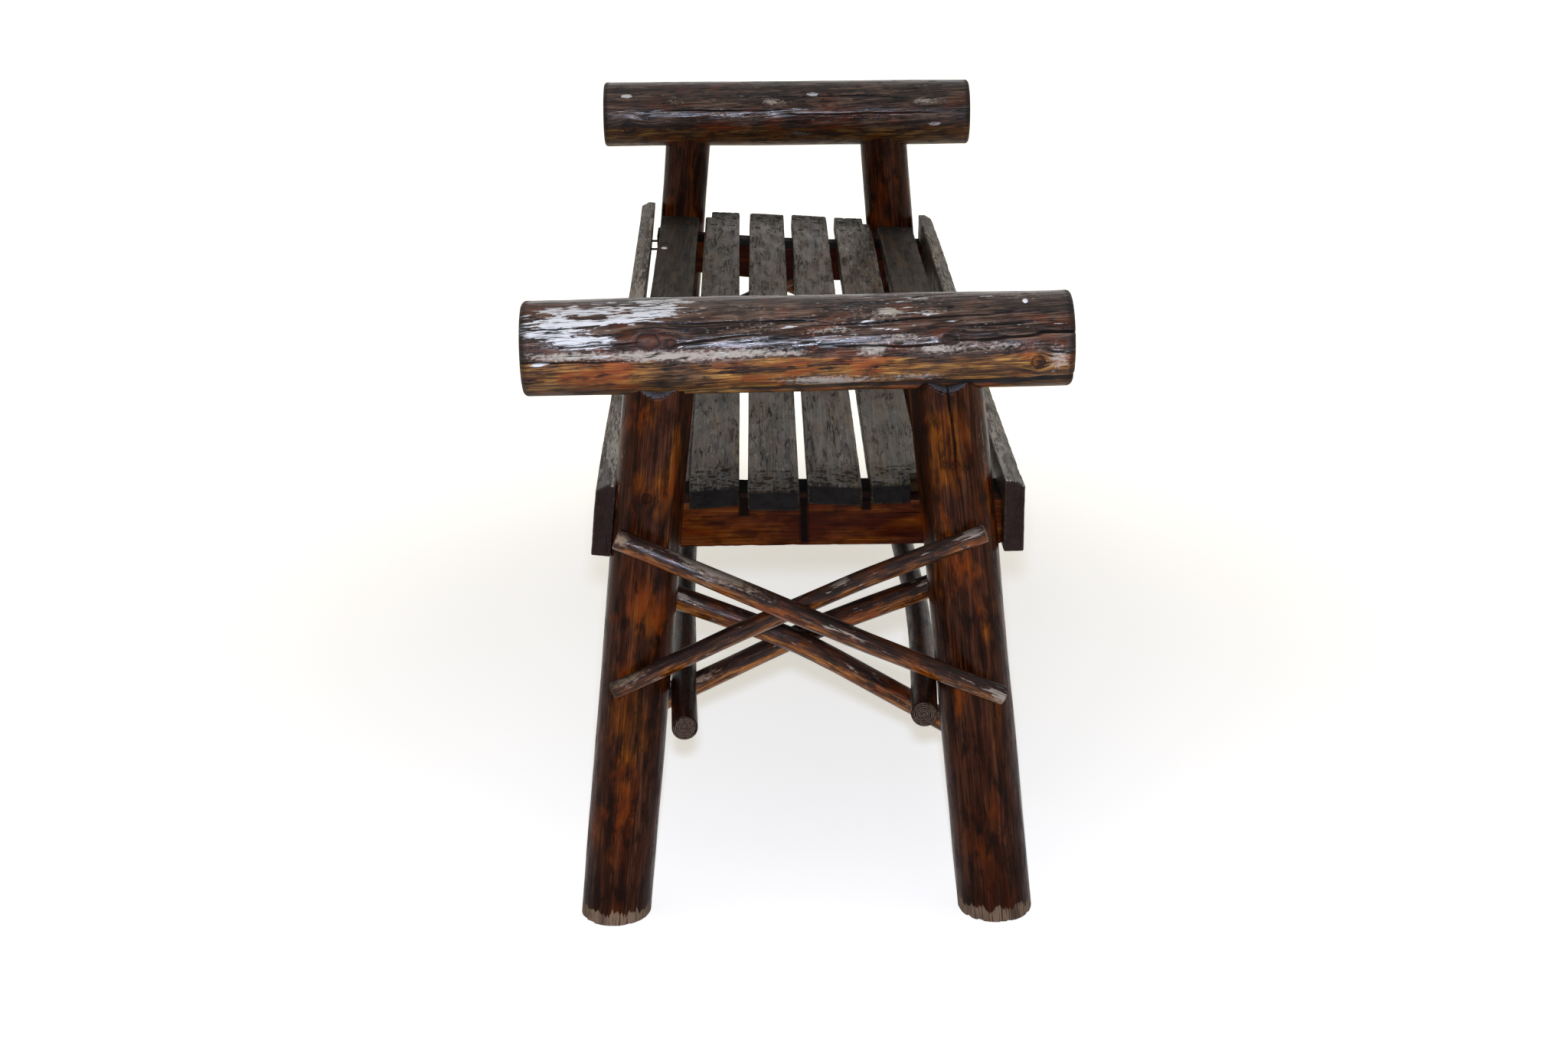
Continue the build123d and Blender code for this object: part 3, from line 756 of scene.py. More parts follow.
@dataclass(frozen=True)
class Knot:
    """Where a branch was cut off flush: a low lump with a cracked rim that the grain runs round.

    Attributes:
        angle: Degrees round the log.
        along: Distance along it, in millimetres.
        radius: Its radius, in millimetres.
        lift: Height of its hump, in metres.
    """

    angle: float
    along: float
    radius: float
    lift: float = 0.8 * MM

    def distance(self, angle: Array, along: Array, radius: float) -> Array:
        """Distance from the knot's middle.

        Args:
            angle: Angle round the axis, in radians, for each point.
            along: Distance along the piece.
            radius: Radius of the piece.

        Returns:
            Distances in knot radii, which waver a little round it.
        """
        across = turned(angle - np.radians(self.angle)) * radius
        lengthwise = 0.85 * (along - self.along * MM)
        turn = np.arctan2(across, lengthwise)
        uneven = 1.0 + 0.09 * np.sin(2.0 * turn + self.angle) + 0.05 * np.sin(5.0 * turn + 2.0 * self.angle)
        return np.hypot(across, lengthwise) * uneven / (self.radius * MM)

    def relief(self, distance: Array) -> Array:
        """Height over the surface: a broad hump, less a thin rim and a sunk middle."""
        rim = 0.8 * MM * bell((distance - 1.0) / 0.16)
        return self.lift * bell(distance / 1.9) - rim - 0.5 * self.lift * bell(distance / 0.35)

    def nearness(self, distance: Array) -> Array:
        """Mark that the finish reads: 1 at the middle, two thirds at the rim, 0 at three radii."""
        return np.clip(1.0 - distance / 3.0, 0.0, 1.0)


@dataclass(frozen=True)
class Patch:
    """A soft-edged patch where one mark is stronger.

    Attributes:
        mark: Name of the mark.
        angle: Degrees round the piece.
        along: Distance along it, in millimetres.
        half_around: Half its size round the piece, in millimetres.
        half_along: Half its length, in millimetres.
        strength: What it adds at its middle.
    """

    mark: str
    angle: float
    along: float
    half_around: float
    half_along: float
    strength: float

    def value(self, angle: Array, along: Array, radius: float) -> Array:
        """The mark that it adds: a bell over the distance in half sizes.

        Args:
            angle: Angle round the axis, in radians, for each point.
            along: Distance along the piece.
            radius: Radius of the piece.

        Returns:
            What it adds, for each point.
        """
        across = turned(angle - np.radians(self.angle)) * radius / (self.half_around * MM)
        lengthwise = (along - self.along * MM) / (self.half_along * MM)
        return self.strength * bell(np.hypot(across, lengthwise))


def patches(mark: str, *rows: tuple[float, ...]) -> tuple[Patch, ...]:
    """Patches of one mark: angle, distance along, half size round, half length and strength of each."""
    return tuple(Patch(mark, *row) for row in rows)


@dataclass(frozen=True)
class Pit:
    """A round hole that a driven nail head leaves."""

    across: float
    along: float
    radius: float = 4.1 * MM
    depth: float = 1.3 * MM

    def share(self, across: Array, along: Array) -> Array:
        """Share of its depth: 1 inside, with a steep edge."""
        return fade(1.12, 0.9, np.hypot(across - self.across, along - self.along) / self.radius)


# ---------------------------------------------------------------- round wood


@dataclass
class Timber:
    """A wooden piece that stands for a CAD node.

    Attributes:
        node: The node.
        material: The piece's finish.
    """

    node: str
    material: bpy.types.Material

    def skin(self) -> Skin:
        """Closed surface of the piece. Each kind of piece works out its own."""
        raise NotImplementedError

    def build(self) -> bpy.types.Object:
        """Make the piece and let it stand for its CAD node.

        Returns:
            The piece.
        """
        piece = self.skin().build(self.node + "_wood", self.material)
        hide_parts(self.node)
        SLOTS[self.material.name]
        return piece


@dataclass
class RoundWood(Timber):
    """A peeled log, pole or rod: round sections carried along a line, with rounded ends.

    Attributes:
        route: Points of its axis, from one end to the other.
        radii: Radius at the two ends.
        facing: Direction of angle 0.
        seed: Which noise shapes it.
        around: Points in a section.
        step: Distance between sections.
        end_radius: Rounding of the ends.
        lumps: Height of the broad unevenness.
        ridges: Height of the fibres and shallow flutes.
        softness: Length over which a bend in the route is spread.
        spiral: Turn of the grain along the piece, in radians per metre.
        clear: How clear the varnish is on the underside of a rod, below a top darkened with painted shade.
        downward: Sign of the angles on the underside of a level piece; 0 for one that stands.
        features: Checks, knots and patches.
    """

    route: Sequence[Place]
    radii: Span
    facing: Array = field(default_factory=lambda: ALONG)
    seed: int = 1
    around: int = 96
    step: float = 3 * MM
    end_radius: float = 2 * MM
    lumps: float = 0.6 * MM
    ridges: float = 0.2 * MM
    softness: float = 30 * MM
    spiral: float = 0.0
    clear: float = 0.0
    downward: float = 0.0
    features: Sequence[Check | Knot | Patch] = ()
    cap_rings: int = 8

    @property
    def length(self) -> float:
        """Length of the axis, from point to point."""
        return float(np.sum(np.linalg.norm(np.diff(np.array(self.route), axis=0), axis=1)))

    def centre(self, along: Array) -> Array:
        """Points of the axis.

        The straight runs of the route, carried on past its ends, are averaged over the softness
        on either side, with bell-shaped weights.

        Args:
            along: Distances from the first point.

        Returns:
            Places, shaped (n, 3).
        """
        points = np.array(self.route)
        points = np.concatenate([[2 * points[0] - points[1]], points, [2 * points[-1] - points[-2]]])
        runs = np.linalg.norm(np.diff(points, axis=0), axis=1)
        marks = np.concatenate([[0.0], np.cumsum(runs)]) - runs[0]
        spread = np.linspace(-1.0, 1.0, 15)
        weights = bell(1.5 * spread) / np.sum(bell(1.5 * spread))
        samples = along[:, None] + spread * self.softness
        return np.stack([np.interp(samples, marks, points[:, axis]) @ weights for axis in range(3)], axis=1)

    def rings(self) -> tuple[Array, Array, Array]:
        """Where the rings lie, from one end face to the other.

        Returns:
            Distance along, inset from the surface, and share of the radius, for each ring.
        """
        cap = np.linspace(0.05, 1.0, self.cap_rings + 1)[:-1]
        body = self.end_radius + stations(self.length - 2.0 * self.end_radius, self.step)[1:-1]
        return ring_rows(self.length, self.end_radius, body, cap, 6)

    def radius(self, angle: Array, along: Array) -> Array:
        """Radius before any relief: it runs evenly from end to end, times a slight oval."""
        mean = self.radii[0] + (self.radii[1] - self.radii[0]) * along / self.length
        return mean * (1.0 + 0.012 * np.cos(2.0 * angle + self.seed))

    def placed(self, along: Array, angle: Array, reach: Array) -> Array:
        """Distance along for each point; a leg cuts its ends to other pieces here."""
        return along + 0.0 * angle

    def marks(self, angle: Array, along: Array, grain: Array) -> dict[str, Array]:
        """Marks of the plain surface; a rod's top is darkened with painted shade.

        Args:
            angle: Angle round the axis, in radians, for each point.
            along: Distance along the piece.
            grain: Place in the straight wood.

        Returns:
            Values for each point, by mark.
        """
        marks = {name: np.zeros(grain.shape[:2]) for name in ("bare", "amber", "dark", "knot", "chalk")}
        below = self.downward * np.sin(angle)
        marks["amber"] = marks["amber"] + self.clear * fade(-0.6, 0.5, below)
        # Painted shade: a rod is darker along its top, where it lies under the seat and arm logs.
        marks["dark"] = marks["dark"] + 0.62 * fade(0.3, 0.95, -below)
        return marks

    def skin(self) -> Skin:
        """Work out the surface.

        A point is the axis point plus the reach along the turned facing direction: reach is
        (radius + relief - inset) times the ring's share, and relief adds broad noise, fibre
        ridges, knots and the grooves of checks.

        Returns:
            The closed skin.
        """
        ring_along, inset, share = self.rings()
        angle = np.linspace(0.0, 2.0 * np.pi, self.around, endpoint=False)[None, :]
        along = ring_along[:, None] + 0.0 * angle
        mean = float(np.mean(self.radii))
        radius = self.radius(angle, along)
        twisted = angle + self.spiral * along
        for knot in (feature for feature in self.features if isinstance(feature, Knot)):
            near = bell(knot.distance(angle, along, mean) / 2.0)
            twisted = twisted - 0.75 * near * turned(angle - np.radians(knot.angle))
        across = (radius * share[:, None])[..., None] * np.stack([np.cos(twisted), np.sin(twisted)], axis=-1)
        grain = np.concatenate([across, (along + GRAIN_APART * self.seed)[..., None]], axis=-1)
        noise = Noise(self.seed)
        relief = self.lumps * noise.fibres(grain, 34 * MM, 110 * MM)
        relief += self.ridges * noise.fibres(grain, 5 * MM, 55 * MM, 3)
        marks = self.marks(angle, along, grain)
        for feature in self.features:
            if isinstance(feature, Patch):
                marks[feature.mark] = marks[feature.mark] + feature.value(angle, along, mean)
            elif isinstance(feature, Check):
                groove = feature.groove(angle + 0 * along, along, mean)
                relief = relief - feature.depth * MM * groove
                marks["dark"] = np.maximum(marks["dark"], fade(0.02, 0.28, groove))
            else:
                distance = feature.distance(angle, along, mean)
                relief = relief + feature.relief(distance)
                marks["knot"] = np.maximum(marks["knot"], feature.nearness(distance))
        cap = (share < 1.0)[:, None]
        marks["dark"] = marks["dark"] * np.where(cap, fade(0.1, 1.0, share[:, None]), 1.0)
        marks["end"] = np.maximum(cap, fade(0.3, 0.75, inset / self.end_radius)[:, None]) + 0.0 * angle
        reach = (radius + relief - inset[:, None]) * share[:, None]
        sunk = 0.35 * MM * noise.fibres(grain, 3 * MM, 1.0, 2) * cap
        return Skin(self.spread(self.placed(along, angle, reach) + sunk, angle, reach), grain, marks)

    def spread(self, along: Array, angle: Array, reach: Array) -> Array:
        """Turn distances along, angles and reaches into places.

        Args:
            along: Distance along the axis, for each point.
            angle: Angle round it.
            reach: Distance from it.

        Returns:
            axis + reach * (cos(angle) * facing + sin(angle) * (axis direction x facing)).
        """
        probe = np.linspace(-0.05 * self.length, 1.05 * self.length, 400)
        line = self.centre(probe)
        ahead = unit(np.gradient(line, probe, axis=0))
        first = unit(self.facing - (ahead @ self.facing)[:, None] * ahead)
        second = np.cross(ahead, first)
        middle, level, square = (
            np.stack([np.interp(along, probe, rows[:, axis]) for axis in range(3)], axis=-1)
            for rows in (line, first, second)
        )
        level_reach, square_reach = (reach * np.cos(angle))[..., None], (reach * np.sin(angle))[..., None]
        return middle + level_reach * level + square_reach * square


@dataclass
class Leg(RoundWood):
    """A splayed leg: level on the floor, hewn on two sides and coped to its arm log.

    Attributes:
        side: Long side of the bench that it stands on.
        end: End of the bench.
        arm_height: Height of the arm log's axis.
        arm_radius: Radius of the arm log.
        facet_height: Height of the hewn facet under the arm log.
        facet_depth: How deep the facet cuts at its top.
        hewn_angle: Degrees from straight out to the hewn inner side.
        hewn_depth: How deep that side is hewn.
        hewn_from: Height where the hewing starts.
        ragged: How far the foot's fibres are torn up.
        frayed_height: How high the foot has lost its finish.
    """

    side: Side = Side.FRONT
    end: End = End.RIGHT
    arm_height: float = 0.6
    arm_radius: float = 44.5 * MM
    facet_height: float = 15.5 * MM
    facet_depth: float = 11 * MM
    hewn_angle: float = 70.0
    hewn_depth: float = 4 * MM
    hewn_from: float = 0.372
    ragged: float = 3.5 * MM
    frayed_height: float = 21 * MM

    def __post_init__(self) -> None:
        """Work out the lean from the route."""
        foot, top = np.array(self.route[0]), np.array(self.route[-1])
        self.lean = float(np.arctan2(abs(top[1] - foot[1]), top[2] - foot[2]))
        self.inner = -self.side.value * self.end.value

    def radius(self, angle: Array, along: Array) -> Array:
        """Radius cut back to the two hewn faces.

        A flat face at distance d in direction a cuts the radius to d / cos(angle - a).

        Args:
            angle: Angle round the axis, in radians, for each point.
            along: Distance along the piece.

        Returns:
            Radius for each point.
        """
        plain = super().radius(angle, along)
        crest = self.radii[1]
        height = along / self.length * self.underside(crest * np.cos(angle))
        slope = self.facet_slope(height)
        facet = (crest - self.facet_depth * slope) / np.maximum(np.cos(angle), 0.2)
        plain = np.where(slope > 0.0, np.minimum(plain, facet), plain)
        start = fade(self.hewn_from, self.hewn_from + 14 * MM, height)
        turn = np.cos(angle - self.inner * np.radians(self.hewn_angle))
        clear = 1.2 * MM
        hewn = (crest + clear - (self.hewn_depth + clear) * start) / np.maximum(turn, 0.2)
        return np.minimum(plain, hewn)

    def facet_slope(self, height: Array) -> Array:
        """How far up the hewn facet a height is: 0 at its foot and 1 under the arm log."""
        return np.clip((height - self.underside(self.radii[1])) / self.facet_height + 1.0, 0.0, 1.2)

    def placed(self, along: Array, angle: Array, reach: Array) -> Array:
        """Run each line of the leg from the floor to the underside of the arm log.

        Args:
            along: Distance along the piece.
            angle: Angle round the axis, in radians, for each point.
            reach: Distance from the axis.

        Returns:
            Distance along the axis where each point comes to lie.
        """
        drop = reach * np.sin(angle) * self.end.value * self.side.value
        rim = (reach / self.radii[0]) ** 4
        torn = np.clip(Noise(self.seed + TORN_FOOT).fibres(self.rim_places(angle), 1.0, 1.0, 3), 0.0, 1.0)
        low = -drop * np.tan(self.lean) + self.ragged * torn * rim
        top = self.underside(reach * np.cos(angle)) + 2 * MM
        high = (top - drop * np.sin(self.lean)) / np.cos(self.lean)
        return low + (high - low) * along / self.length

    def underside(self, aside: Array) -> Array:
        """Height of the arm log's lower surface at a distance from its axis."""
        near = np.minimum(np.abs(aside), 0.98 * self.arm_radius)
        return self.arm_height - np.sqrt(self.arm_radius ** 2 - near ** 2)

    def rim_places(self, angle: Array) -> Array:
        """Places round the foot in steps of a torn bundle of fibres, about 6 mm.

        Args:
            angle: Angle round the axis, in radians, for each point.

        Returns:
            Places shaped (1, around, 3).
        """
        turns = self.radii[0] / (6 * MM)
        ring = np.stack([turns * np.cos(angle), turns * np.sin(angle), 0.0 * angle], axis=-1)
        return np.broadcast_to(ring, (1, *ring.shape[1:]))

    def marks(self, angle: Array, along: Array, grain: Array) -> dict[str, Array]:
        """Glowing varnish on the outer face, painted shade on the hewn inner face and on the facet under the
        arm log, a painted reflection on that facet, dirt and fibres at the foot.

        Args:
            angle: Angle round the axis, in radians, for each point.
            along: Distance along the piece.
            grain: Place in the straight wood.

        Returns:
            Values for each point, by mark.
        """
        noise = Noise(self.seed + LEG_MARKS)
        marks = super().marks(angle, along, grain)
        height = along * np.cos(self.lean)
        facing = np.clip(np.cos(angle), 0.0, 1.0)
        marks["amber"] = 0.05 + 0.15 * facing + 0.9 * noise.fibres(grain, 20 * MM, 34 * MM, 3)
        marks["amber"] -= 0.35 * fade(240 * MM, 150 * MM, height)
        # The hewn inner face is darkened: painted shade.
        hewn = fade(0.9, 0.97, np.cos(angle - self.inner * np.radians(self.hewn_angle)))
        marks["dark"] = 0.55 * hewn * fade(self.hewn_from, self.hewn_from + 10 * MM, height)
        thick = 0.5 * fade(0.0, 0.5, noise.fibres(grain + 0.4, 20 * MM, 60 * MM, 3))
        slope = self.facet_slope(along / self.length * self.underside(self.radii[1] * np.cos(angle)))
        cut = self.radii[1] - (self.radii[1] - self.facet_depth * slope) / np.maximum(np.cos(angle), 0.2)
        shelf = fade(0.2 * MM, 0.9 * MM, cut) * (slope > 0.0)
        torn = height + 12 * MM * noise.fibres(grain, 7 * MM, 30 * MM)
        dirty = 0.36 * fade(2.4 * self.frayed_height, 1.2 * self.frayed_height, torn)
        dirty *= fade(0.4 * self.frayed_height, self.frayed_height, torn)
        marks["dark"] = np.maximum(np.maximum(marks["dark"], thick), dirty) * (1.0 - shelf)
        # The facet under the arm log is darkened, most at its top: painted shade. Its grey chalk colour over
        # it is a painted reflection.
        marks["dark"] += (0.5 + 0.4 * fade(0.3, 0.9, slope)) * shelf
        marks["chalk"] = 0.85 * shelf
        marks["bare"] = 1.1 * fade(self.frayed_height, 5 * MM, torn)
        return marks


@dataclass
class Plank(Timber):
    """A sawn board, slat or rail: one section carried along a line, with worn corners.

    Attributes:
        corners: Corners of the section (across, up), anticlockwise, about its middle.
        counts: Points on the edge after each corner.
        length: Length of the piece.
        edge_radius: Rounding of the corners.
        step: Distance between sections away from the ends.
        fine_step: The same in the fine zones.
        zones: Stretches with nails and notches.
        pith: Where the log's pith lay, seen from the section's middle.
        pits: Nail holes in the top.
        wear: How far the corners are worn back.
        dents: Depth of the dark dents in the top.
        ridges: Height of the raised fibres.
        lumps: Height of the broad unevenness.
    """

    corners: Sequence[Span]
    counts: Sequence[int]
    length: float
    seed: int = 1
    edge_radius: float = 1.5 * MM
    step: float = 6 * MM
    fine_step: float = 1.2 * MM
    zones: Sequence[Span] = ()
    pith: Span = (12 * MM, -38 * MM)
    pits: Sequence[Pit] = ()
    wear: float = 1.0 * MM
    dents: float = 0.8 * MM
    ridges: float = 0.16 * MM
    lumps: float = 0.35 * MM
    cap_rings: int = 5

    def rings(self) -> tuple[Array, Array, Array]:
        """Where the rings lie, from one end face to the other.

        Returns:
            Distance along, inset from the surface, and share of the section, for each ring.
        """
        cap = np.linspace(0.1, 1.0, self.cap_rings + 1)[:-1]
        plain = self.length - 2.0 * self.edge_radius
        body = self.edge_radius + stations(plain, self.step, self.fine_step, self.zones)[1:-1]
        return ring_rows(self.length, self.edge_radius, body, cap, 4)

    def carried(self, along: Array, across: Array, up: Array) -> Array:
        """Place in the bench of each point of the straight piece. Each kind of plank has its own."""
        raise NotImplementedError

    def marks(self, along: Array, across: Array, up: Array, facing: Array) -> dict[str, Array]:
        """Marks of the plain surface; facing is the upward part of the section's normal."""
        return {name: np.zeros(across.shape) for name in ("bare", "amber", "dark", "chalk")}

    def skin(self) -> Skin:
        """Work out the surface.

        A point of the section is an inner point plus its normal times the corner radius, the
        relief and less the inset; the whole is scaled by the ring's share. Relief adds raised
        fibres and broad noise, and takes off worn corners and nail holes.

        Returns:
            The closed skin.
        """
        ring_along, inset, share = self.rings()
        places, normals = rounded_outline(self.corners, self.edge_radius, self.counts)
        along = ring_along[:, None] + 0.0 * places[None, :, 0]
        flat = places + normals * self.edge_radius
        across = flat[None, :, 0] * share[:, None]
        up = flat[None, :, 1] * share[:, None]
        grain = np.stack([across - self.pith[0], up - self.pith[1], along + GRAIN_APART * self.seed], axis=-1)
        turning = np.linalg.norm(np.roll(normals, -1, axis=0) - np.roll(normals, 1, axis=0), axis=1)
        corner = np.clip(turning / 0.5, 0.0, 1.0)[None, :]
        noise = Noise(self.seed)
        relief = self.ridges * noise.fibres(grain, 2.6 * MM, 60 * MM, 2)
        relief += self.lumps * noise.fibres(grain, 24 * MM, 160 * MM)
        relief -= self.wear * corner * fade(-0.1, 0.9, noise.fibres(grain, 5 * MM, 14 * MM, 3))
        facing = normals[None, :, 1] + 0.0 * along
        marks = self.marks(along, across, up, facing)
        relief -= self.dents * fade(0.4, 0.9, marks["dark"]) * (facing > 0.9)
        for pit in self.pits:
            sunk = pit.share(across, along) * (facing > 0.9)
            relief = relief - pit.depth * sunk
            marks["dark"] = np.maximum(marks["dark"], 0.85 * sunk)
        cap = (share < 1.0)[:, None]
        marks["end"] = np.maximum(cap, fade(0.3, 0.75, inset / self.edge_radius)[:, None]) + 0.0 * across
        push = (relief - inset[:, None]) * share[:, None]
        across = across + push * normals[None, :, 0]
        up = up + push * normals[None, :, 1]
        sunk = 0.3 * MM * noise.fibres(grain, 3 * MM, 1.0, 2) * cap
        return Skin(self.carried(along + sunk, across, up), grain, marks)


# ---------------------------------------------------------------- the bench


@dataclass(frozen=True)
class SeatPlane:
    """The slightly twisted plane of the seat: its left end is rolled, front side up."""

    height: float = 0.450
    roll: float = np.radians(3.15)
    level_at: float = 0.5795
    rolled_at: float = -0.533

    def share(self, x: Array) -> Array:
        """Share of the full roll at x."""
        return (self.level_at - x) / (self.level_at - self.rolled_at)

    def rise(self, x: Array, y: Array) -> Array:
        """Height that the roll adds at a place."""
        return -np.tan(self.roll) * y * self.share(x)


SEAT = SeatPlane()


@dataclass(frozen=True)
class SlatEnd:
    """One end of a slat: its middle's Y, its width, and X at its front and back corners."""

    middle: float
    width: float
    front_reach: float
    back_reach: float


@dataclass
class Slat(Plank):
    """A seat slat, from its right end to its left one.

    Attributes:
        right: Its right end.
        left: Its left end.
        thickness: Its thickness.
        notches: Share of the half width cut away: on a side, from a distance, over a length.
        greyness: How far the stain has weathered off its top.
        stain: How dark the stain has stayed.
    """

    right: SlatEnd = SlatEnd(0.0, 0.05, 0.63, 0.63)
    left: SlatEnd = SlatEnd(0.0, 0.05, -0.63, -0.63)
    thickness: float = 20 * MM
    notches: Sequence[tuple[Side, float, float, float]] = ()
    greyness: float = 0.3
    stain: float = 0.0

    def carried(self, along: Array, across: Array, up: Array) -> Array:
        """Run straight lines between the ends and roll with the seat.

        Across is a share of the width, which changes evenly from end to end; a notch draws its
        side in towards the middle, and the roll turns across and up about the slat's axis.

        Args:
            along: Distance along the piece.
            across: Place across the section.
            up: Place up the section.

        Returns:
            Places in the bench.
        """
        run = along / self.length
        share = across / self.right.width
        right = self.right.front_reach + (self.right.back_reach - self.right.front_reach) * (share + 0.5)
        left = self.left.front_reach + (self.left.back_reach - self.left.front_reach) * (share + 0.5)
        x = right + (left - right) * run
        middle = self.right.middle + (self.left.middle - self.right.middle) * run
        width = self.right.width + (self.left.width - self.right.width) * run
        for side, start, length, cut in self.notches:
            stop, slope = start + length, 1.5 * MM
            inside = fade(start, start + slope, along) * fade(stop, stop - slope, along)
            share = np.where(share * side.value > 0.0, share * (1.0 - cut * inside), share)
        roll = SEAT.roll * SEAT.share(x)
        height = SEAT.height - 0.5 * self.thickness + SEAT.rise(x, middle)
        crook = 0.8 * MM * np.sin(2.0 * np.pi * run + self.seed)
        y = middle + share * width * np.cos(roll) + up * np.sin(roll) + 0.5 * crook
        z = height + up * np.cos(roll) - share * width * np.sin(roll) + 0.4 * crook
        return np.stack([x, y, z], axis=-1)

    def marks(self, along: Array, across: Array, up: Array, facing: Array) -> dict[str, Array]:
        """Grey where rain and sitting wear the top, pitted round the nails, and darker towards the ends,
        partly dirt round the nails and partly painted shade under the arm logs.

        Args:
            along: Distance along the piece.
            across: Place across the section.
            up: Place up the section.
            facing: Upward part of the section's normal.

        Returns:
            Values for each point, by mark.
        """
        marks = super().marks(along, across, up, facing)
        noise = Noise(self.seed + MARKS)
        grain = np.stack([across, up, along], axis=-1)
        marks["bare"] = self.greyness * fade(0.3, 0.9, facing) + 0.25 * noise.fibres(grain, 12 * MM, 90 * MM)
        marks["amber"] = 0.35 + 0.9 * noise.fibres(grain + 0.7, 22 * MM, 60 * MM, 3)
        upward = fade(0.5, 0.9, facing)
        marks["chalk"] = 0.2 * upward * fade(0.2, 0.7, noise.fibres(grain + 1.3, 9 * MM, 16 * MM, 2))
        pitted = fade(0.2, 0.32, noise.fibres(grain, 4.4 * MM, 3.8 * MM, 2)) * upward
        from_end = np.minimum(along, self.length - along)
        near_ends = fade(95 * MM, 30 * MM, from_end)
        # Darker within 95 mm of the ends: partly dirt and pits round the nails, partly painted shade under
        # the arm logs.
        marks["dark"] = np.maximum(self.stain + 0.36 * near_ends, pitted * near_ends)
        return marks


@dataclass
class SideBoard(Plank):
    """A bevelled board outside the legs, along the seat's edge, from right to left.

    Attributes:
        side: Long side of the bench.
        reach: X of its right end.
        inner: Distance of its inner face from the bench's middle, at seat height.
        flare: How much further out its left end stands.
        lean: Angle that its top leans in.
        middle_up: Height of its middle over the seat.
    """

    side: Side = Side.FRONT
    reach: float = 0.641
    inner: float = 0.178
    flare: float = 0.0
    lean: float = 0.0
    thickness: float = 19 * MM
    middle_up: float = -28.5 * MM

    def carried(self, along: Array, across: Array, up: Array) -> Array:
        """Lean the section about its inner face and follow the seat's roll along the bench.

        Args:
            along: Distance along the piece.
            across: Place across the section.
            up: Place up the section.

        Returns:
            Places in the bench.
        """
        run = along / self.length
        out = across + 0.5 * self.thickness
        rise = up + self.middle_up
        crook = 1.2 * MM * np.sin(1.7 * np.pi * run + self.seed)
        x = self.reach * (1.0 - 2.0 * run)
        leaned = out * np.cos(self.lean) - rise * np.sin(self.lean)
        y = self.side.value * (self.inner + leaned + self.flare * run + crook)
        z = SEAT.height + out * np.sin(self.lean) + rise * np.cos(self.lean)
        return np.stack([x, y, z + SEAT.rise(x, self.side.value * self.inner)], axis=-1)

    def marks(self, along: Array, across: Array, up: Array, facing: Array) -> dict[str, Array]:
        """Weathered grey on the top and the bevel.

        Args:
            along: Distance along the piece.
            across: Place across the section.
            up: Place up the section.
            facing: Upward part of the section's normal.

        Returns:
            Values for each point, by mark.
        """
        marks = super().marks(along, across, up, facing)
        noise = Noise(self.seed + MARKS)
        grain = np.stack([across, up, along], axis=-1)
        marks["bare"] = 0.45 * fade(0.3, 0.8, facing) + 0.3 * noise.fibres(grain, 9 * MM, 50 * MM)
        pitted = fade(0.4, 0.8, noise.fibres(grain, 2.5 * MM, 7 * MM, 2)) * fade(0.5, 0.9, facing)
        marks["dark"] = 0.7 * pitted
        return marks


@dataclass(frozen=True)
class RailFace:
    """A rail's face: its reach at the ends and how far it bows in at the middle."""

    reach: float
    bow: float

    def at(self, share: Array) -> Array:
        """Reach where the share of the half length is given: reach - bow * (1 - share^2)."""
        return self.reach - self.bow * (1.0 - share ** 2)


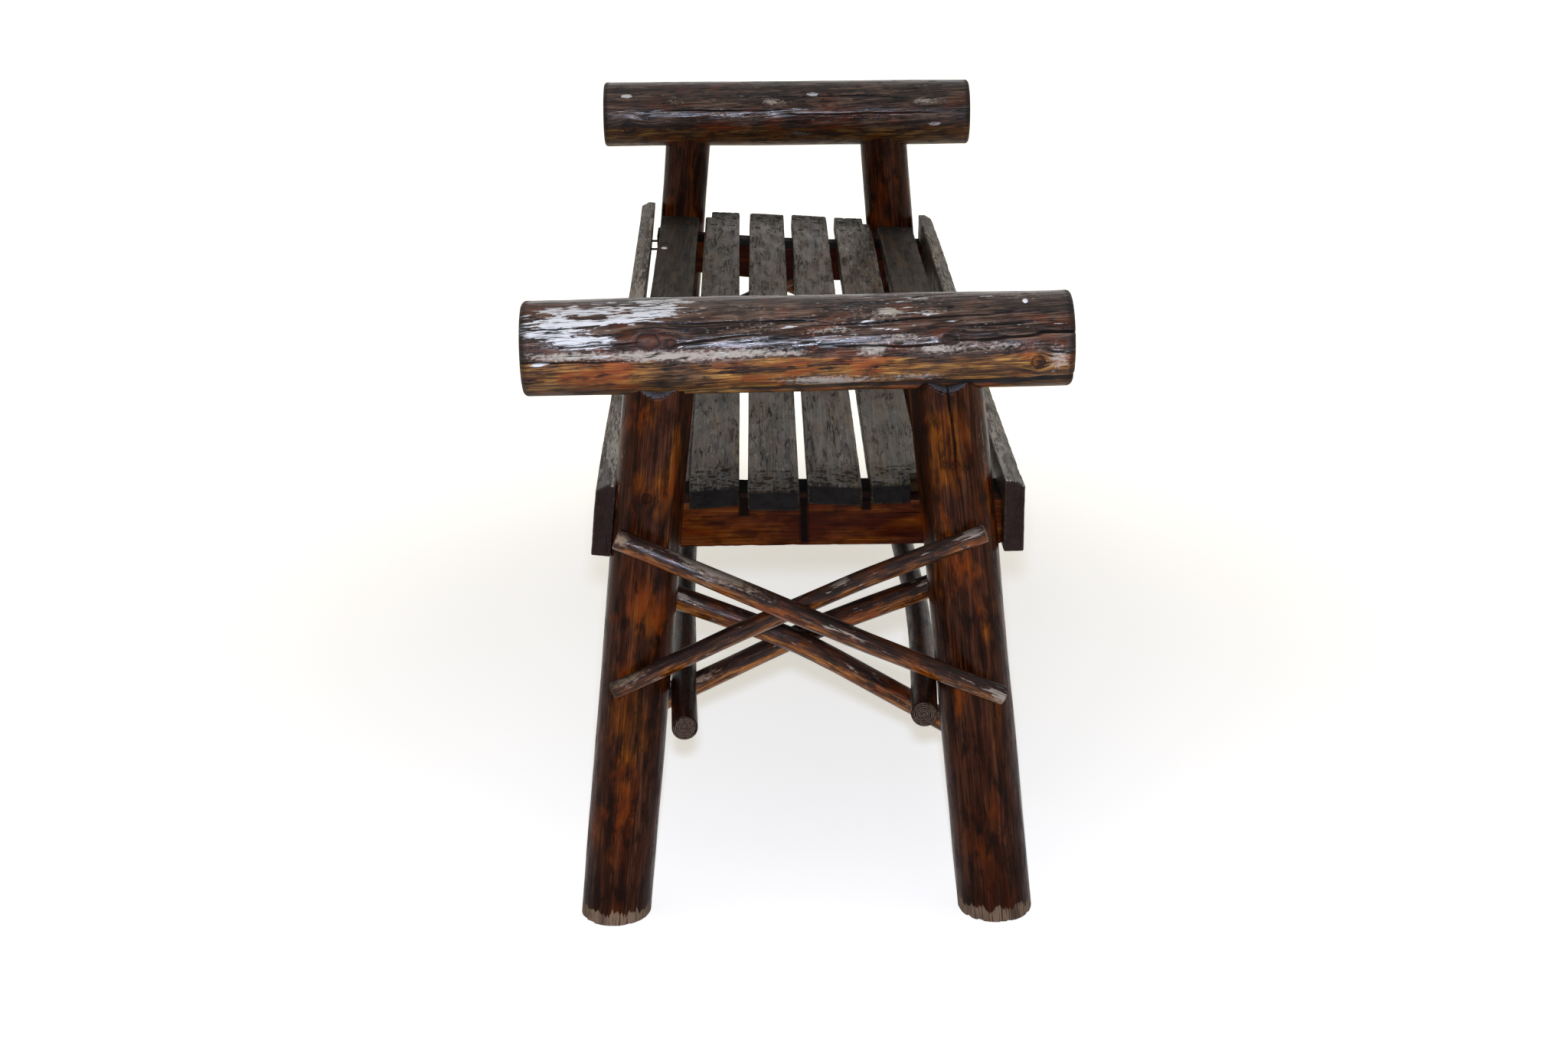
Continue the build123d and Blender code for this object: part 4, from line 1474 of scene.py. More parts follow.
@dataclass
class SeatRail(Plank):
    """The rail under the slats of one end, from front to back.

    Attributes:
        end: End of the bench.
        outer: Its outer face.
        inner: Its inner face.
        half: Distance from the bench's middle where the faces' end reaches hold.
        top: Height of its top.
        front: Distance of its front end from the bench's middle.
        drips: Dark runs of water stain on the outer face: Y, half width, and depth from the top.
    """

    end: End = End.RIGHT
    outer: RailFace = RailFace(0.617, 2 * MM)
    inner: RailFace = RailFace(0.549, 5 * MM)
    half: float = 192.6 * MM
    top: float = 431.6 * MM
    height: float = 46 * MM
    front: float = 181 * MM
    drips: Sequence[Place] = ()

    def middle(self, y: Array) -> Array:
        """Reach of the rail's middle at y."""
        return 0.5 * (self.outer.at(y / self.half) + self.inner.at(y / self.half))

    def carried(self, along: Array, across: Array, up: Array) -> Array:
        """Stretch the section between the two bowed faces and follow the roll of the seat.

        Args:
            along: Distance along the piece.
            across: Place across the section.
            up: Place up the section.

        Returns:
            Places in the bench.
        """
        y = along - self.front
        width = self.outer.at(y / self.half) - self.inner.at(y / self.half)
        nominal = self.outer.reach - self.inner.reach
        x = self.end.value * (self.middle(y) + across * width / nominal)
        roll = SEAT.rise(x, y) if self.end is End.LEFT else 0.0
        return np.stack([x, y, self.top - 0.5 * self.height + up + roll], axis=-1)

    def marks(self, along: Array, across: Array, up: Array, facing: Array) -> dict[str, Array]:
        """Warm on the outer face, with drips below the gaps between slats; the top and the inner face are
        darkened as painted shade under the slats.

        Args:
            along: Distance along the piece.
            across: Place across the section.
            up: Place up the section.
            facing: Upward part of the section's normal.

        Returns:
            Values for each point, by mark.
        """
        marks = super().marks(along, across, up, facing)
        grain = np.stack([across, up, along], axis=-1)
        noise = Noise(self.seed + MARKS)
        outside = fade(0.0, 0.4, across / (self.outer.reach - self.inner.reach))
        lit_end = 0.5 * fade(-60 * MM, -130 * MM, along - self.front)
        marks["amber"] = 0.4 * outside + lit_end + 0.5 * noise.fibres(grain, 10 * MM, 60 * MM)
        # Painted shade: the top, under the slats, and the inner face are darker.
        marks["dark"] = 0.75 * fade(0.7, 0.95, facing) + 0.35 * fade(0.4, 0.0, outside)
        for y, half_width, depth in self.drips:
            edge = np.abs(along - self.front - y + 0.6 * MM * noise.fibres(grain, 1.0, 1.0)) / half_width
            drop = (0.5 * self.height - up) / depth
            wet = fade(1.2, 0.85, edge) * fade(1.05, 0.95, drop) * outside
            marks["dark"] = np.maximum(marks["dark"], wet)
        return marks


@dataclass
class ArmLog(RoundWood):
    """An arm log: dark and flaking above, amber varnish along its lower outer side.

    Attributes:
        glow_from: Degrees below level, on the outer side, where the amber begins.
        glow_to: Degrees where it ends.
        flaking: Bareness of the upper side.
        rubbed: Degrees at the middle of the strip where arms rub the varnish and keep its gloss.
    """

    glow_from: float = 4.0
    glow_to: float = 95.0
    flaking: float = 0.25
    rubbed: float = -16.0

    def marks(self, angle: Array, along: Array, grain: Array) -> dict[str, Array]:
        """Amber between the two angles, with a ragged border, flaking above, and painted shade darkening the
        underside.

        Args:
            angle: Angle round the axis, in radians, for each point.
            along: Distance along the piece.
            grain: Place in the straight wood.

        Returns:
            Values for each point, by mark.
        """
        marks = super().marks(angle, along, grain)
        noise = Noise(self.seed + MARKS)
        ragged = angle * np.degrees(1.0) + 0.0 * along
        ragged = (ragged + 180.0) % 360.0 - 180.0 + 7.0 * noise.fibres(grain, 14 * MM, 70 * MM, 3)
        glow = fade(self.glow_from - 4.0, self.glow_from + 4.0, ragged)
        glow = glow * fade(self.glow_to, self.glow_to - 30.0, ragged)
        marks["amber"] = 1.6 * glow - 0.75
        # Painted shade: the amber side darkens towards the underside.
        low = fade(12.0, 60.0, ragged + 14.0 * noise.fibres(grain + 0.6, 14 * MM, 40 * MM, 2))
        from_end = np.minimum(along, self.length - along) + 2 * MM * noise.fibres(grain, 4 * MM, 1.0)
        edge = fade(10 * MM, 4 * MM, from_end)
        marks["dark"] = np.maximum(0.55 * low * glow, 0.75 * edge)
        open_face = (1.0 - glow) * (1.0 - 0.9 * bell((ragged - self.rubbed) / 9.0))
        marks["bare"] = self.flaking * open_face * (0.6 + noise.fibres(grain, 22 * MM, 60 * MM))
        marks["chalk"] = 0.35 * open_face * fade(0.0, 0.6, noise.fibres(grain + 0.9, 16 * MM, 40 * MM, 2))
        return marks


@dataclass(frozen=True)
class LegSize:
    """Size and stance of one leg."""

    top_radius: float
    splay: float
    shift: float = 0.0


@dataclass(frozen=True)
class Rod:
    """A brace rod.

    Attributes:
        name: Letter at the end of its node's name.
        radius: Its radius.
        course: Points (Y, Z) of its axis, in millimetres.
        out: How far it bows, in millimetres: outwards to pass outside the other rod of its pair.
        scuffs: Bare and chalky places.
        half_bow: Y, in millimetres, where the bow has run out.
    """

    name: str
    radius: float
    course: Sequence[Span]
    out: float
    scuffs: Sequence[Patch] = ()
    half_bow: float = 160.0

    def bow(self, y: float) -> float:
        """How far it bows at a Y in millimetres: a parabola, in metres."""
        return self.out * MM * max(0.0, 1.0 - (y / self.half_bow) ** 2)


@dataclass
class EndFrame:
    """One end of the bench: two legs, their arm log, the seat rail and two pairs of rods.

    Attributes:
        arm_height: Height of the arm log's axis.
        reach: Distance of the legs' plane from the bench's middle.
        leg_seat_y: Y of the legs' axes at seat height.
        leg_swell: Radius that a leg gains from the arm log down to the floor.
        arm_slope: How far the arm log's back end is up and its front end down.
        arm_spiral: Turn of its grain, in radians per metre.
        glow_to: As for the arm log, and so are flaking and rubbed.
        seat_bite: How deep a rod sits in a leg.
    """

    end: End
    arm_height: float
    legs: dict[Side, LegSize]
    leg_features: dict[Side, Sequence[Check | Knot | Patch]]
    arm_features: Sequence[Check | Knot | Patch]
    rail: SeatRail
    finishes: dict[str, bpy.types.Material]
    reach: float = 0.629
    leg_seat_y: float = 145.75 * MM
    leg_swell: float = 1.3 * MM
    arm_radius: float = 44.5 * MM
    arm_slope: float = 0.0
    arm_spiral: float = 1.0
    glow_to: float = 95.0
    flaking: float = 0.25
    rubbed: float = -16.0
    seat_bite: float = 1.5 * MM
    outer_rods: Sequence[Rod] = ()
    inner_rods: Sequence[Rod] = ()

    @property
    def name(self) -> str:
        """Name of the end, as in its nodes' names."""
        return self.end.name.lower()

    def leg_y(self, side: Side, height: float) -> float:
        """Y of a leg's axis at a height.

        Args:
            side: Long side of the bench.
            height: Height over the floor.

        Returns:
            Y of the axis.
        """
        size = self.legs[side]
        lean = (SEAT.height - height) * np.tan(np.radians(size.splay))
        return side.value * (self.leg_seat_y + size.shift + lean)

    def build_arm_log(self) -> bpy.types.Object:
        """Arm log, carried so that positive angles are its underside's outer half.

        Returns:
            The piece.
        """
        low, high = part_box("arm_log_" + self.name)
        middle = 0.5 * (low.z + high.z)
        ends = [(self.end.value * self.reach, low.y, middle - self.arm_slope)]
        ends.append((self.end.value * self.reach, high.y, middle + self.arm_slope))
        return ArmLog(
            "arm_log_" + self.name, self.finishes["arm_log"], ends[::self.end.value],
            (self.arm_radius, self.arm_radius), self.end.value * ALONG, seed=3 + self.end.value,
            around=480, step=3.1 * MM, end_radius=5 * MM, lumps=1.1 * MM, ridges=0.35 * MM,
            spiral=self.arm_spiral, features=self.arm_features, cap_rings=14, glow_to=self.glow_to,
            flaking=self.flaking, rubbed=self.rubbed,
        ).build()

    def build_leg(self, side: Side) -> bpy.types.Object:
        """Leg of one side.

        Args:
            side: Long side of the bench.

        Returns:
            The piece.
        """
        size = self.legs[side]
        x = self.end.value * self.reach
        underside = self.arm_height - np.sqrt(self.arm_radius ** 2 - size.top_radius ** 2)
        route = [(x, self.leg_y(side, height), height) for height in (0.0, underside)]
        return Leg(
            f"leg_{side.name.lower()}_{self.name}", self.finishes["leg"], route,
            (size.top_radius + self.leg_swell, size.top_radius), self.end.value * ALONG,
            seed=10 + 2 * side.value + self.end.value, around=224, step=2.8 * MM, end_radius=2 * MM,
            lumps=0.9 * MM, ridges=0.3 * MM, features=self.leg_features[side], cap_rings=6,
            side=side, end=self.end, arm_height=self.arm_height,
        ).build()

    def build_rod(self, rod: Rod, place: str, face: int) -> bpy.types.Object:
        """Rod of one pair.

        Args:
            rod: The rod.
            place: "outer" or "inner".
            face: 1 for the outer side of the legs, -1 for the inner side.

        Returns:
            The piece; its axis lies on the legs and bows by a parabola to pass the other rod.
        """
        legs = float(np.mean([size.top_radius for size in self.legs.values()])) + self.leg_swell
        seat = self.reach + face * (legs + rod.radius - self.seat_bite)
        route = [(self.end.value * (seat + rod.bow(y)), y * MM, z * MM) for y, z in rod.course]
        return RoundWood(
            f"{place}_brace_{self.name}_{rod.name}", self.finishes["rod"], route,
            (rod.radius, 0.94 * rod.radius), self.end.value * ALONG,
            seed=20 + 5 * face + int(np.sign(rod.out)),
            around=88, step=2.6 * MM, end_radius=1.6 * MM, lumps=0.8 * MM, ridges=0.25 * MM,
            features=rod.scuffs, cap_rings=5, clear=0.8 - 0.15 * face,
            downward=self.end.value * float(np.sign(rod.course[-1][0] - rod.course[0][0])),
        ).build()

    def build(self) -> list[bpy.types.Object]:
        """Build every piece of the end frame.

        Returns:
            The pieces.
        """
        pieces = [self.build_arm_log(), *(self.build_leg(side) for side in Side), self.rail.build()]
        pieces += [self.build_rod(rod, "outer", 1) for rod in self.outer_rods]
        pieces += [self.build_rod(rod, "inner", -1) for rod in self.inner_rods]
        return pieces


@dataclass
class Seat:
    """The slats and the side boards."""

    finishes: dict[str, bpy.types.Material]
    rails: Sequence[SeatRail]
    nail_spread: float = 24 * MM
    slat_thickness: float = 20 * MM
    full_slats: Sequence[tuple[SlatEnd, SlatEnd]] = (
        (SlatEnd(-85.3 * MM, 47.8 * MM, 0.634, 0.625), SlatEnd(-89.0 * MM, 48.6 * MM, -0.630, -0.633)),
        (SlatEnd(-28.8 * MM, 49.4 * MM, 0.640, 0.642), SlatEnd(-26.2 * MM, 48.5 * MM, -0.632, -0.632)),
        (SlatEnd(30.1 * MM, 52.2 * MM, 0.622, 0.632), SlatEnd(33.9 * MM, 49.7 * MM, -0.634, -0.631)),
        (SlatEnd(90.5 * MM, 51.0 * MM, 0.626, 0.624), SlatEnd(95.6 * MM, 50.7 * MM, -0.631, -0.633)),
    )
    short_slats: dict[Side, tuple[SlatEnd, SlatEnd]] = field(default_factory=lambda: {
        Side.FRONT: (
            SlatEnd(-148.8 * MM, 51.1 * MM, 0.594, 0.594), SlatEnd(-149.3 * MM, 53.3 * MM, -0.594, -0.594),
        ),
        Side.BACK: (
            SlatEnd(156.4 * MM, 49.3 * MM, 0.591, 0.591), SlatEnd(156.5 * MM, 49.0 * MM, -0.591, -0.591),
        ),
    })
    notches: dict[int, Sequence[tuple[Side, float, float, float]]] = field(default_factory=lambda: {
        1: ((Side.FRONT, 1.225, 0.2, 0.35),),
        4: ((Side.BACK, -0.1, 0.137, 0.5), (Side.BACK, 1.215, 0.2, 0.4)),
    })

    def pits(self, ends: tuple[SlatEnd, SlatEnd], node: str) -> list[Pit]:
        """Holes over the nails: two at each rail, either side of the CAD slat's middle.

        Args:
            ends: Its right and its left end.
            node: CAD node that it stands for.

        Returns:
            The holes.
        """
        right, left = ends
        low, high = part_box(node)
        length = right.front_reach - left.front_reach
        pits = []
        for rail in self.rails:
            for y in (0.5 * (low.y + high.y - self.nail_spread), 0.5 * (low.y + high.y + self.nail_spread)):
                along = right.front_reach - rail.end.value * rail.middle(y)
                middle = right.middle + (left.middle - right.middle) * along / length
                pits.append(Pit(y - middle, along))
        return pits

    def build_slat(
        self, node: str, ends: tuple[SlatEnd, SlatEnd], seed: int, **extra: Any
    ) -> bpy.types.Object:
        """One slat, with close rings over the rails and at its ends.

        Args:
            node: CAD node that it stands for.
            ends: Its right and its left end.
            seed: Which noise shapes it.
            extra: Further fields of the slat.

        Returns:
            The piece.
        """
        right, left = ends
        length = right.front_reach - left.front_reach
        return Slat(
            node, self.finishes["slat"], rectangle(0.5 * right.width, 0.5 * self.slat_thickness),
            (12, 8, 44, 8), length, seed=seed, edge_radius=2 * MM,
            zones=[(0.0, 90 * MM), (length - 150 * MM, length)],
            pits=self.pits(ends, node), right=right, left=left, pith=(14 * MM * (-1) ** seed, -42 * MM),
            **extra,
        ).build()

    def build_board(self, side: Side, inner: float, flare: float, lean: float) -> bpy.types.Object:
        """One side board: its section has a bevel at the outer top corner.

        Args:
            side: Long side of the bench.
            inner: Distance of its inner face from the bench's middle.
            flare: How much further out its left end stands.
            lean: Degrees that its top leans in.

        Returns:
            The piece.
        """
        corners = [(-9.5, -36.0), (9.5, -36.0), (9.5, 29.5), (-0.5, 36.0), (-9.5, 36.0)]
        return SideBoard(
            "side_board_" + side.name.lower(), self.finishes["board"],
            [(out * MM, up * MM) for out, up in corners], (8, 30, 12, 8, 26), 2 * SideBoard.reach,
            seed=40 + side.value, edge_radius=1.6 * MM, zones=[(0.0, 20 * MM)], pith=(-30 * MM, -20 * MM),
            wear=1.6 * MM, side=side, inner=inner, flare=flare, lean=np.radians(lean),
        ).build()

    def build(self) -> list[bpy.types.Object]:
        """Build the six slats and both boards.

        Returns:
            The pieces.
        """
        pieces = []
        for number, ends in enumerate(self.full_slats, 1):
            notches = self.notches.get(number, ())
            pieces.append(self.build_slat(f"seat_slat_{number}", ends, 30 + number, notches=notches))
        for side, ends in self.short_slats.items():
            name = "short_slat_" + side.name.lower()
            pieces.append(self.build_slat(name, ends, 36 + side.value, greyness=-0.2, stain=0.58))
        pieces.append(self.build_board(Side.FRONT, 177.9 * MM, 8 * MM, 5.9))
        pieces.append(self.build_board(Side.BACK, 192.6 * MM, 0.0, 0.0))
        return pieces


@dataclass
class Stretchers:
    """The two long poles between the end frames."""

    material: bpy.types.Material
    radius: float = 12.8 * MM
    courses: dict[Side, Sequence[Place]] = field(default_factory=lambda: {
        Side.FRONT: (
            (731, -115.2, 245), (629, -118.6, 249), (317, -126.0, 251), (-100, -125.0, 251),
            (-629, -119.4, 250), (-724, -117.5, 250),
        ),
        Side.BACK: (
            (713, 112.5, 248), (629, 117.6, 250), (502, 122.5, 250), (409, 124.0, 250), (203, 119.4, 250),
            (-100, 115.0, 250), (-629, 118.2, 250), (-711, 119.5, 250),
        ),
    })

    def build(self) -> list[bpy.types.Object]:
        """Build both poles; they narrow a little to the left.

        Returns:
            The pieces.
        """
        pieces = []
        for side, course in self.courses.items():
            pole = RoundWood(
                "stretcher_pole_" + side.name.lower(), self.material,
                [(x * MM, y * MM, z * MM) for x, y, z in course], (self.radius, self.radius - 0.4 * MM),
                UP, seed=50 + side.value, around=96, step=5 * MM, end_radius=2 * MM, lumps=0.7 * MM,
                ridges=0.25 * MM, softness=60 * MM, cap_rings=6,
            )
            pieces.append(pole.build())
        return pieces


@dataclass
class Fasteners:
    """Nails, coach screws and washers: CAD nodes that keep their shape."""

    material: bpy.types.Material
    nodes: Sequence[str] = (
        "slat_nails", "side_board_nails", "outer_brace_nails", "inner_brace_nails", "pole_nails",
        "rail_screws", "rail_washers",
    )

    def build(self, nodes: dict[str, bpy.types.Object]) -> list[bpy.types.Object]:
        """Give each node the steel.

        Args:
            nodes: The frame's nodes by name.

        Returns:
            The dressed nodes.
        """
        for name in self.nodes:
            nodes[name].data.materials.clear()
            nodes[name].data.materials.append(self.material)
        return [nodes[name] for name in self.nodes]


@dataclass
class PaintDrops:
    """Dried drops of white paint on the bench.

    Attributes:
        material: The paint.
        spots: For each drop, the piece that it lies on, its place in millimetres, the direction it
            faces and its radius.
        height: Height over the wood; it sinks in as far.
    """

    material: bpy.types.Material
    spots: dict[str, tuple[str, Place, Place, float]] = field(default_factory=lambda: {
        "paint_drop_log": ("arm_log_right_wood", (646.5, 206.7, 635.0), (0.39, 0.0, 0.92), 3.3 * MM),
        "paint_drop_slat": ("short_slat_front_wood", (-385.0, -165.5, 458.0), (0.0, 0.0, 1.0), 5.5 * MM),
    })
    height: float = 1.1 * MM

    def build(self, pieces: Sequence[bpy.types.Object]) -> list[bpy.types.Object]:
        """Set each drop on the nearest point of its piece.

        A drop is a flat ellipsoid: radius * cos(latitude) across and height * sin(latitude) along
        the direction it faces.

        Args:
            pieces: The finished pieces.

        Returns:
            The drops.
        """
        drops = []
        for name, (carrier, place, facing, radius) in self.spots.items():
            mesh = next(piece.data for piece in pieces if piece.name == carrier)
            points = np.zeros(3 * len(mesh.vertices))
            mesh.vertices.foreach_get("co", points)
            points = points.reshape(-1, 3)
            middle = points[np.argmin(np.linalg.norm(points - np.array(place) * MM, axis=1))]
            normal = unit(np.array(facing))
            first = unit(np.cross(normal, BACKWARD))
            second = np.cross(normal, first)
            latitude = np.linspace(-1.4, 1.4, 10)[:, None, None]
            turn = np.linspace(0.0, 2.0 * np.pi, 20, endpoint=False)[None, :, None]
            flat = radius * np.cos(latitude) * (np.cos(turn) * first + 0.8 * np.sin(turn) * second)
            rings = middle + flat + self.height * np.sin(latitude) * normal
            drops.append(Skin(rings, flat, {}).build(name, self.material))
        return drops


@dataclass
class Studio:
    """White surroundings, a soft overhead lamp, a lamp beside the camera, and the camera."""

    camera_place: Place = (2.866249, -0.043257, 1.183144)
    camera_ahead: Place = (-0.945661, 0.010403, -0.324989)
    camera_right: Place = (0.013924, 0.999867, -0.008511)
    lens: float = 56.5
    sensor: float = 36.0
    floor_half: float = 30.0
    ambient: float = 0.26
    ambient_colour: str = "#fff8ec"
    floor_colour: str = "#f2f6ff"
    floor_glow: float = 0.54
    floor_glow_colour: str = "#fffaed"
    glow_near: float = 0.35
    glow_far: float = 1.6

    def build_camera(self) -> None:
        """Camera that looks along the bench from its right end."""
        data = bpy.data.cameras.new("camera")
        data.lens = self.lens
        data.sensor_width = self.sensor
        data.sensor_fit = "HORIZONTAL"
        camera = bpy.data.objects.new("camera", data)
        ahead, right = Vector(self.camera_ahead), Vector(self.camera_right)
        turn = Matrix((right, right.cross(ahead), -ahead)).transposed()
        camera.matrix_world = Matrix.Translation(self.camera_place) @ turn.to_4x4()
        bpy.context.scene.collection.objects.link(camera)
        bpy.context.scene.camera = camera

    def build_lamp(
        self, name: str, place: Place, target: Place, size: float, watts: float, colour: str
    ) -> None:
        """Square area lamp that faces a point.

        Args:
            name: Name of the lamp.
            place: Where it stands.
            target: Point that it faces.
            size: Length of its side.
            watts: Its power.
            colour: Its colour, as six hex digits after a #.
        """
        data = bpy.data.lights.new(name, "AREA")
        data.size = size
        data.energy = watts
        data.color = linear(colour)[:3]
        lamp = bpy.data.objects.new(name, data)
        lamp.location = place
        lamp.rotation_euler = (Vector(target) - Vector(place)).to_track_quat("-Z", "Y").to_euler()
        bpy.context.scene.collection.objects.link(lamp)

    def build_world(self) -> None:
        """White where the camera or a reflection sees it, softer and warmer as light."""
        recipe = Recipe(bpy.data.worlds.new("surroundings"))
        light = recipe.add("Background", {"Color": linear(self.ambient_colour), "Strength": self.ambient})
        white = recipe.add("Background", {"Color": linear("#ffffff"), "Strength": 1.0})
        chosen = recipe.add("MixShader", {0: recipe.seen(), 1: light, 2: white})
        recipe.add("OutputWorld", {"Surface": chosen})
        bpy.context.scene.world = recipe.owner

    def build_floor(self) -> None:
        """Pale floor that keeps the bench's shadow and runs out to plain white far from it."""
        recipe = Recipe(bpy.data.materials.new("pale_painted_floor"))
        place = recipe.add("TexCoord", {}, "Object")
        away = recipe.add("VectorMath", {0: place}, "Value", operation="LENGTH")
        levels = {0: away, 1: self.glow_near, 2: self.glow_far, 3: self.floor_glow, 4: 1.0}
        level = recipe.add("MapRange", levels, interpolation_type="SMOOTHSTEP")
        glow = recipe.add("Math", {0: recipe.seen(), 1: level}, operation="MULTIPLY")
        surface = {"Base Color": linear(self.floor_colour), "Roughness": 0.9, "Specular IOR Level": 0.0}
        surface["Emission Color"] = linear(self.floor_glow_colour)
        surface["Emission Strength"] = glow
        recipe.add("OutputMaterial", {"Surface": recipe.add("BsdfPrincipled", surface)})
        corners = np.array([(-1, -1, 0), (1, -1, 0), (1, 1, 0), (-1, 1, 0)]) * self.floor_half
        mesh = bpy.data.meshes.new("floor")
        fill_mesh(mesh, corners, np.array([[0, 1, 2, 3]]), np.zeros((0, 3), int))
        mesh.materials.append(recipe.owner)
        floor = bpy.data.objects.new("floor", mesh)
        bpy.context.scene.collection.objects.link(floor)

    def build(self) -> None:
        """Set up the whole studio."""
        bpy.context.scene.view_settings.view_transform = "Standard"
        self.build_camera()
        self.build_world()
        self.build_floor()
        self.build_lamp("overhead", (0.3, -0.4, 3.4), (0.0, 0.0, 0.4), 2.2, 13.0, "#fff4e4")
        self.build_lamp("beside_camera", (2.84, -0.041, 1.26), (0.3, 0.0, 0.4), 0.06, 50.0, "#dce6ff")


OUTER_RODS = (
    Rod(
        "a", 10.4 * MM, ((-178, 416), (-70, 369), (60, 310), (192, 249.5)), 10.0,
        (
            *patches("chalk", (-25.0, 4, 8, 9, 1.0), (-50.0, 110, 8, 50, 0.8), (25.0, 402, 7, 16, 0.8)),
            *patches(
                "bare", (-62.0, 92, 7, 44, 0.45), (-10.0, 235, 4, 30, 0.3), (-15.0, 400, 5, 20, 0.5),
            ),
        ),
    ),
    Rod(
        "b", 9.2 * MM, ((171.5, 416.5), (60, 370), (-60, 317), (-185.5, 259)), -10.0,
        (
            *patches("bare", (48.0, 12, 6, 18, 0.5), (60.0, 140, 4, 20, 0.4)),
            *patches("chalk", (50.0, 372, 6, 24, 0.9)),
        ),
    ),
)
INNER_RODS = (
    Rod(
        "a", 11.8 * MM, ((-168, 340), (-122, 322), (-8, 279), (30, 258), (107, 209), (168, 169)), 12.0,
        (
            *patches("bare", (-40.0, 60, 4, 30, 0.3)),
            *patches("chalk", (-30.0, 330, 7, 30, 0.8)),
        ),
    ),
    Rod(
        "b", 11.6 * MM, ((168, 345), (120, 326), (8, 281), (-106, 227), (-170, 197)), -12.0,
        (
            *patches("bare", (40.0, 40, 4, 26, 0.3)),
            *patches("chalk", (35.0, 300, 6, 34, 0.8)),
        ),
    ),
)


RIGHT_ARM_FEATURES = (
    Check(((110, 64), (170, 57), (298, 54), (369, 51), (440, 48), (508, 44), (700, 39)), 8, 8),
    Check(((125, -42), (200, -43), (256, -43), (290, -40)), 1.5, 3),
    Check(((262, -35), (305, -37), (330, -39), (381, -44), (431, -46), (464, -50), (490, -52)), 1.6, 3),
    Check(((400, -32), (430, -31.5), (455, -33.5), (478, -35)), 1.2, 2),
    Check(((398, -15), (441, -15.7), (457, -17), (482, -21), (506, -21.5), (640, -22)), 2.0, 4),
    Check(((292, -9.5), (354, -8.5), (379, -9.3), (402, -11)), 1.3, 2.5),
    Check(((250, -60), (318, -68), (356, -75), (379, -83), (405, -89)), 1.3, 2.5),
    Check(((-60, -38), (0, -37), (30, -38), (62, -40)), 1.2, 2.2),
    Check(((37, -15), (70, -17), (95, -18), (112, -21)), 1.2, 2.5),
    Check(((128, -9), (150, -16), (165, -20), (200, -24), (225, -27)), 1.2, 2.4),
    Check(((-60, 3), (0, 3), (61, 3), (105, 4)), 1.3, 2.2),
    Knot(-20.3, 119, 8.0),
    Knot(-17.0, 140, 4.2),
    Knot(-14.5, 397, 5.0),
    Knot(14.4, 479, 5.5),
    *patches(
        "bare", (-46.0, 52, 3.5, 30, 0.6), (-42.0, 50, 22, 60, 0.2), (-48.0, 101, 5, 20, 0.55),
        (-64.0, 74, 7, 42, 0.5), (-61.0, 128, 7, 15, 0.6), (-82.0, 118, 6, 44, 0.5),
        (-19.0, 62, 6, 28, 0.8), (-31.0, 26, 3, 22, 0.5), (4.5, 20, 2.5, 11, 0.6),
        (-3.0, 70, 2, 30, 0.5), (35.0, 262, 4, 30, 0.24),
    ),
    *patches(
        "chalk", (-3.0, 30, 5, 26, 0.8), (-3.0, 115, 5.5, 50, 1.0), (-4.0, 210, 5.5, 50, 0.9),
        (-30.0, 292, 4, 26, 0.6), (-6.0, 326, 8, 15, 1.0), (-19.0, 352, 4, 18, 0.7),
        (-4.0, 384, 5, 24, 0.8), (-6.0, 440, 5, 34, 0.6), (-54.6, 341, 4, 9, 1.5),
        (-52.0, 380, 2.5, 20, 0.6), (10.0, 498, 14, 12, 0.8), (38.0, 285, 8, 46, 1.0),
        (34.0, 372, 6, 30, 0.7),
    ),
    *patches(
        "dark", (32.0, 130, 8, 13, 0.65), (26.0, 430, 12, 66, 0.32), (48.0, 60, 12, 60, 0.3),
        (18.0, 28, 4, 6, 0.5), (26.0, 60, 3, 4, 0.6),
    ),
)
LEFT_ARM_FEATURES = (
    Check(((40, -172), (120, -171), (200, -174), (260, -172)), 1.4, 2.4),
    Check(((280, -164), (350, -166), (430, -163)), 1.4, 2.4),
    Check(((90, -140), (180, -138), (300, -142)), 1.2, 2.2),
    Knot(165.0, 480, 7.0),
    *patches("bare", (-135.5, 483, 3, 8, 1.0), (-135.0, 222, 3, 8, 1.0), (168.0, 50, 3, 8, 1.0)),
    *patches("chalk", (-150.0, 280, 5, 16, 0.9), (150.0, 240, 5, 20, 0.8), (-150.0, 60, 5, 26, 0.8)),
    # The long darker band along the lower inner side is painted shade.
    *patches("dark", (150.0, 260, 14, 260, 0.25)),
)
FRONT_RIGHT_LEG_FEATURES = (
    Knot(-5.3, 452, 4.2),
    *patches(
        "amber", (0.0, 330, 60, 110, -0.3), (-14.0, 130, 22, 90, 0.5), (8.0, 468, 10, 26, 0.9),
        (-24.0, 474, 9, 16, 0.7), (43.0, 512, 8, 34, 0.9), (10.0, 346, 12, 40, 0.7),
    ),
    *patches("bare", (-66.0, 500, 7, 60, 0.4)),
)
BACK_RIGHT_LEG_FEATURES = (
    Check(((455, 6), (475, 1), (520, 2), (554, -1), (620, -2)), 1.4, 3),
    Knot(1.0, 484, 2.8),
    *patches("dark", (0.0, 8, 40, 16, 0.2)),
    *patches("amber", (-17.0, 524, 14, 30, 0.9), (-24.0, 476, 14, 30, 0.8)),
    *patches("bare", (52.0, 510, 8, 50, 0.35)),
)


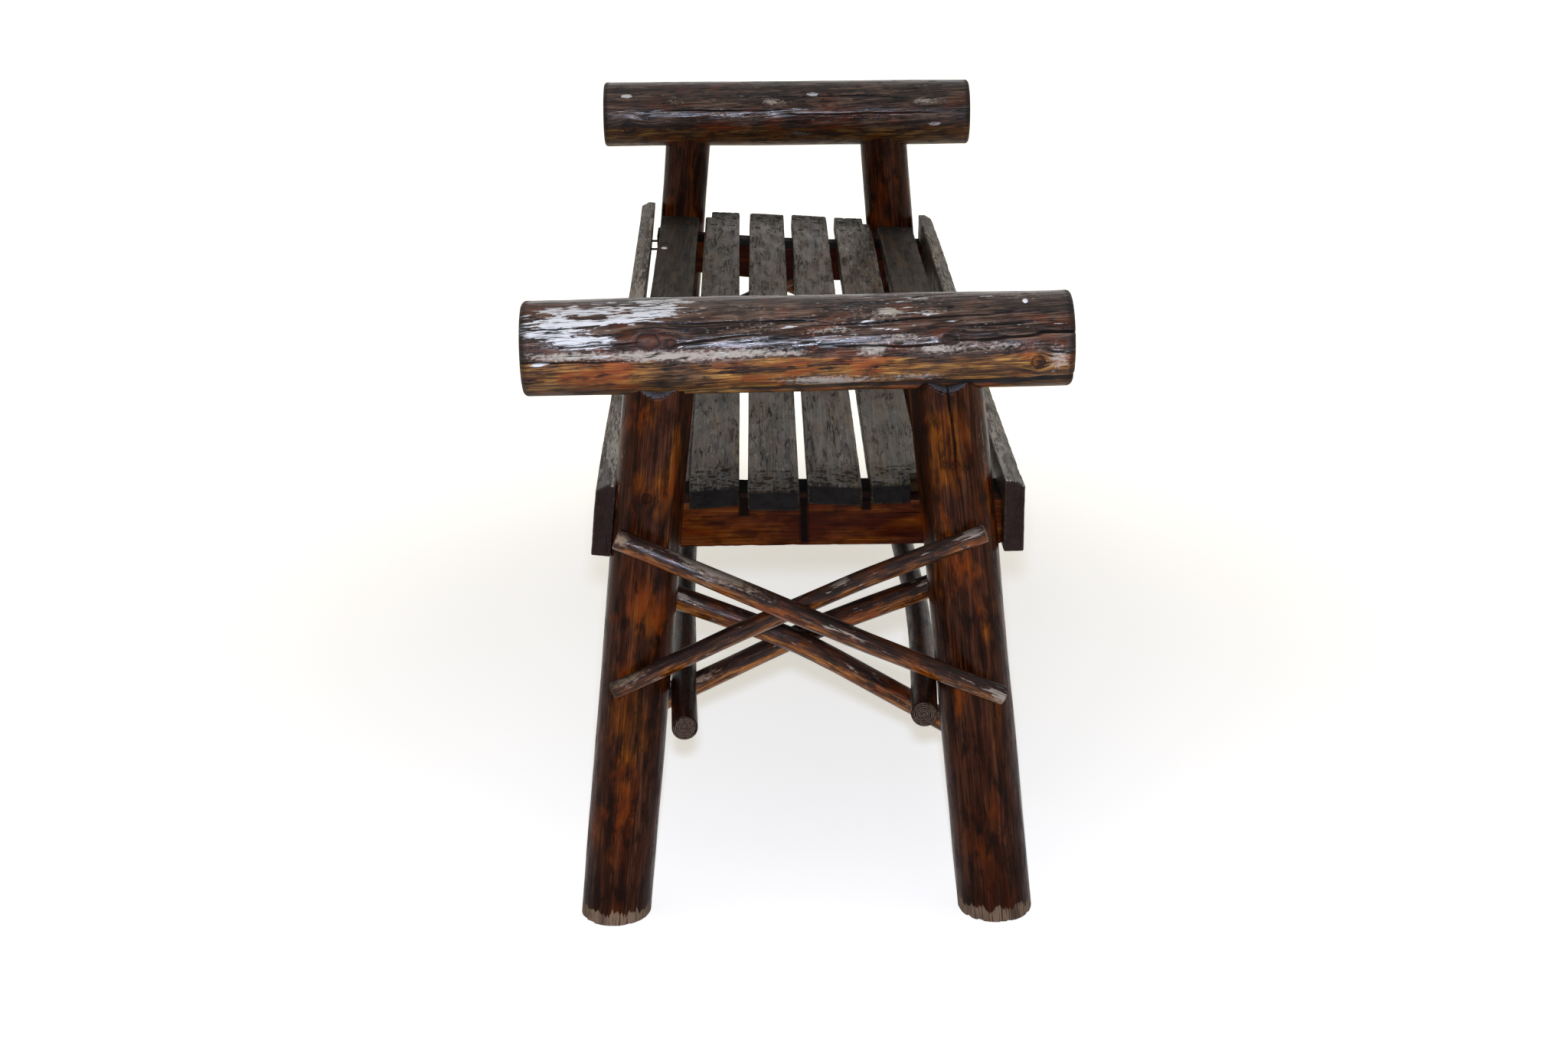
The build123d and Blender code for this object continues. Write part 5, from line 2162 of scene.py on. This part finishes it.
def main() -> None:
    """Build the bench around the frame and report each piece."""
    logging.basicConfig(level=logging.INFO, format="%(message)s")
    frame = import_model()
    finishes = {
        "arm_log": ARM_LOG.material(),
        "leg": LEG.material(),
        "slat": SLAT.material(),
        "board": BOARD.material(),
        "rod": ROD.material(),
    }
    rail_material = RAIL.material()
    right_rail = SeatRail(
        "seat_rail_right", rail_material, rectangle(34 * MM, 23 * MM),
        (20, 26, 16, 14), 373.5 * MM, seed=45, step=2 * MM, edge_radius=2 * MM,
        drips=((0.5 * MM, 4 * MM, 44 * MM), (-57 * MM, 5 * MM, 15 * MM), (61 * MM, 5 * MM, 11 * MM)),
    )
    left_rail = SeatRail(
        "seat_rail_left", rail_material, rectangle(25 * MM, 23 * MM),
        (20, 18, 20, 18), 373.5 * MM, seed=47, step=2.4 * MM, edge_radius=2 * MM, end=End.LEFT,
        outer=RailFace(0.601, 34 * MM), inner=RailFace(0.551, 52 * MM),
    )
    right = EndFrame(
        End.RIGHT, 592 * MM,
        {Side.FRONT: LegSize(33.3 * MM, 5.9), Side.BACK: LegSize(36.0 * MM, 5.9)},
        {Side.FRONT: FRONT_RIGHT_LEG_FEATURES, Side.BACK: BACK_RIGHT_LEG_FEATURES},
        RIGHT_ARM_FEATURES, right_rail, finishes,
        arm_slope=2.5 * MM, outer_rods=OUTER_RODS, inner_rods=INNER_RODS,
    )
    left = EndFrame(
        End.LEFT, 597 * MM,
        {Side.FRONT: LegSize(31.8 * MM, 5.2), Side.BACK: LegSize(33.4 * MM, 4.4, 4 * MM)},
        {Side.FRONT: (), Side.BACK: ()}, LEFT_ARM_FEATURES, left_rail, finishes,
        arm_slope=-0.7 * MM, glow_to=184.0, flaking=0.08, rubbed=-166.0, outer_rods=OUTER_RODS,
        inner_rods=INNER_RODS,
    )
    pieces = right.build() + left.build() + Seat(finishes, (right_rail, left_rail)).build()
    pieces += Stretchers(POLE.material()).build()
    pieces += PaintDrops(PaintFinish().material()).build(pieces)
    pieces += Fasteners(MetalFinish().material()).build(frame["nodes"])
    Studio().build()
    for piece in pieces:
        log.info("%s: %d faces", piece.name, len(piece.data.polygons))


if __name__ == "__main__":
    main()
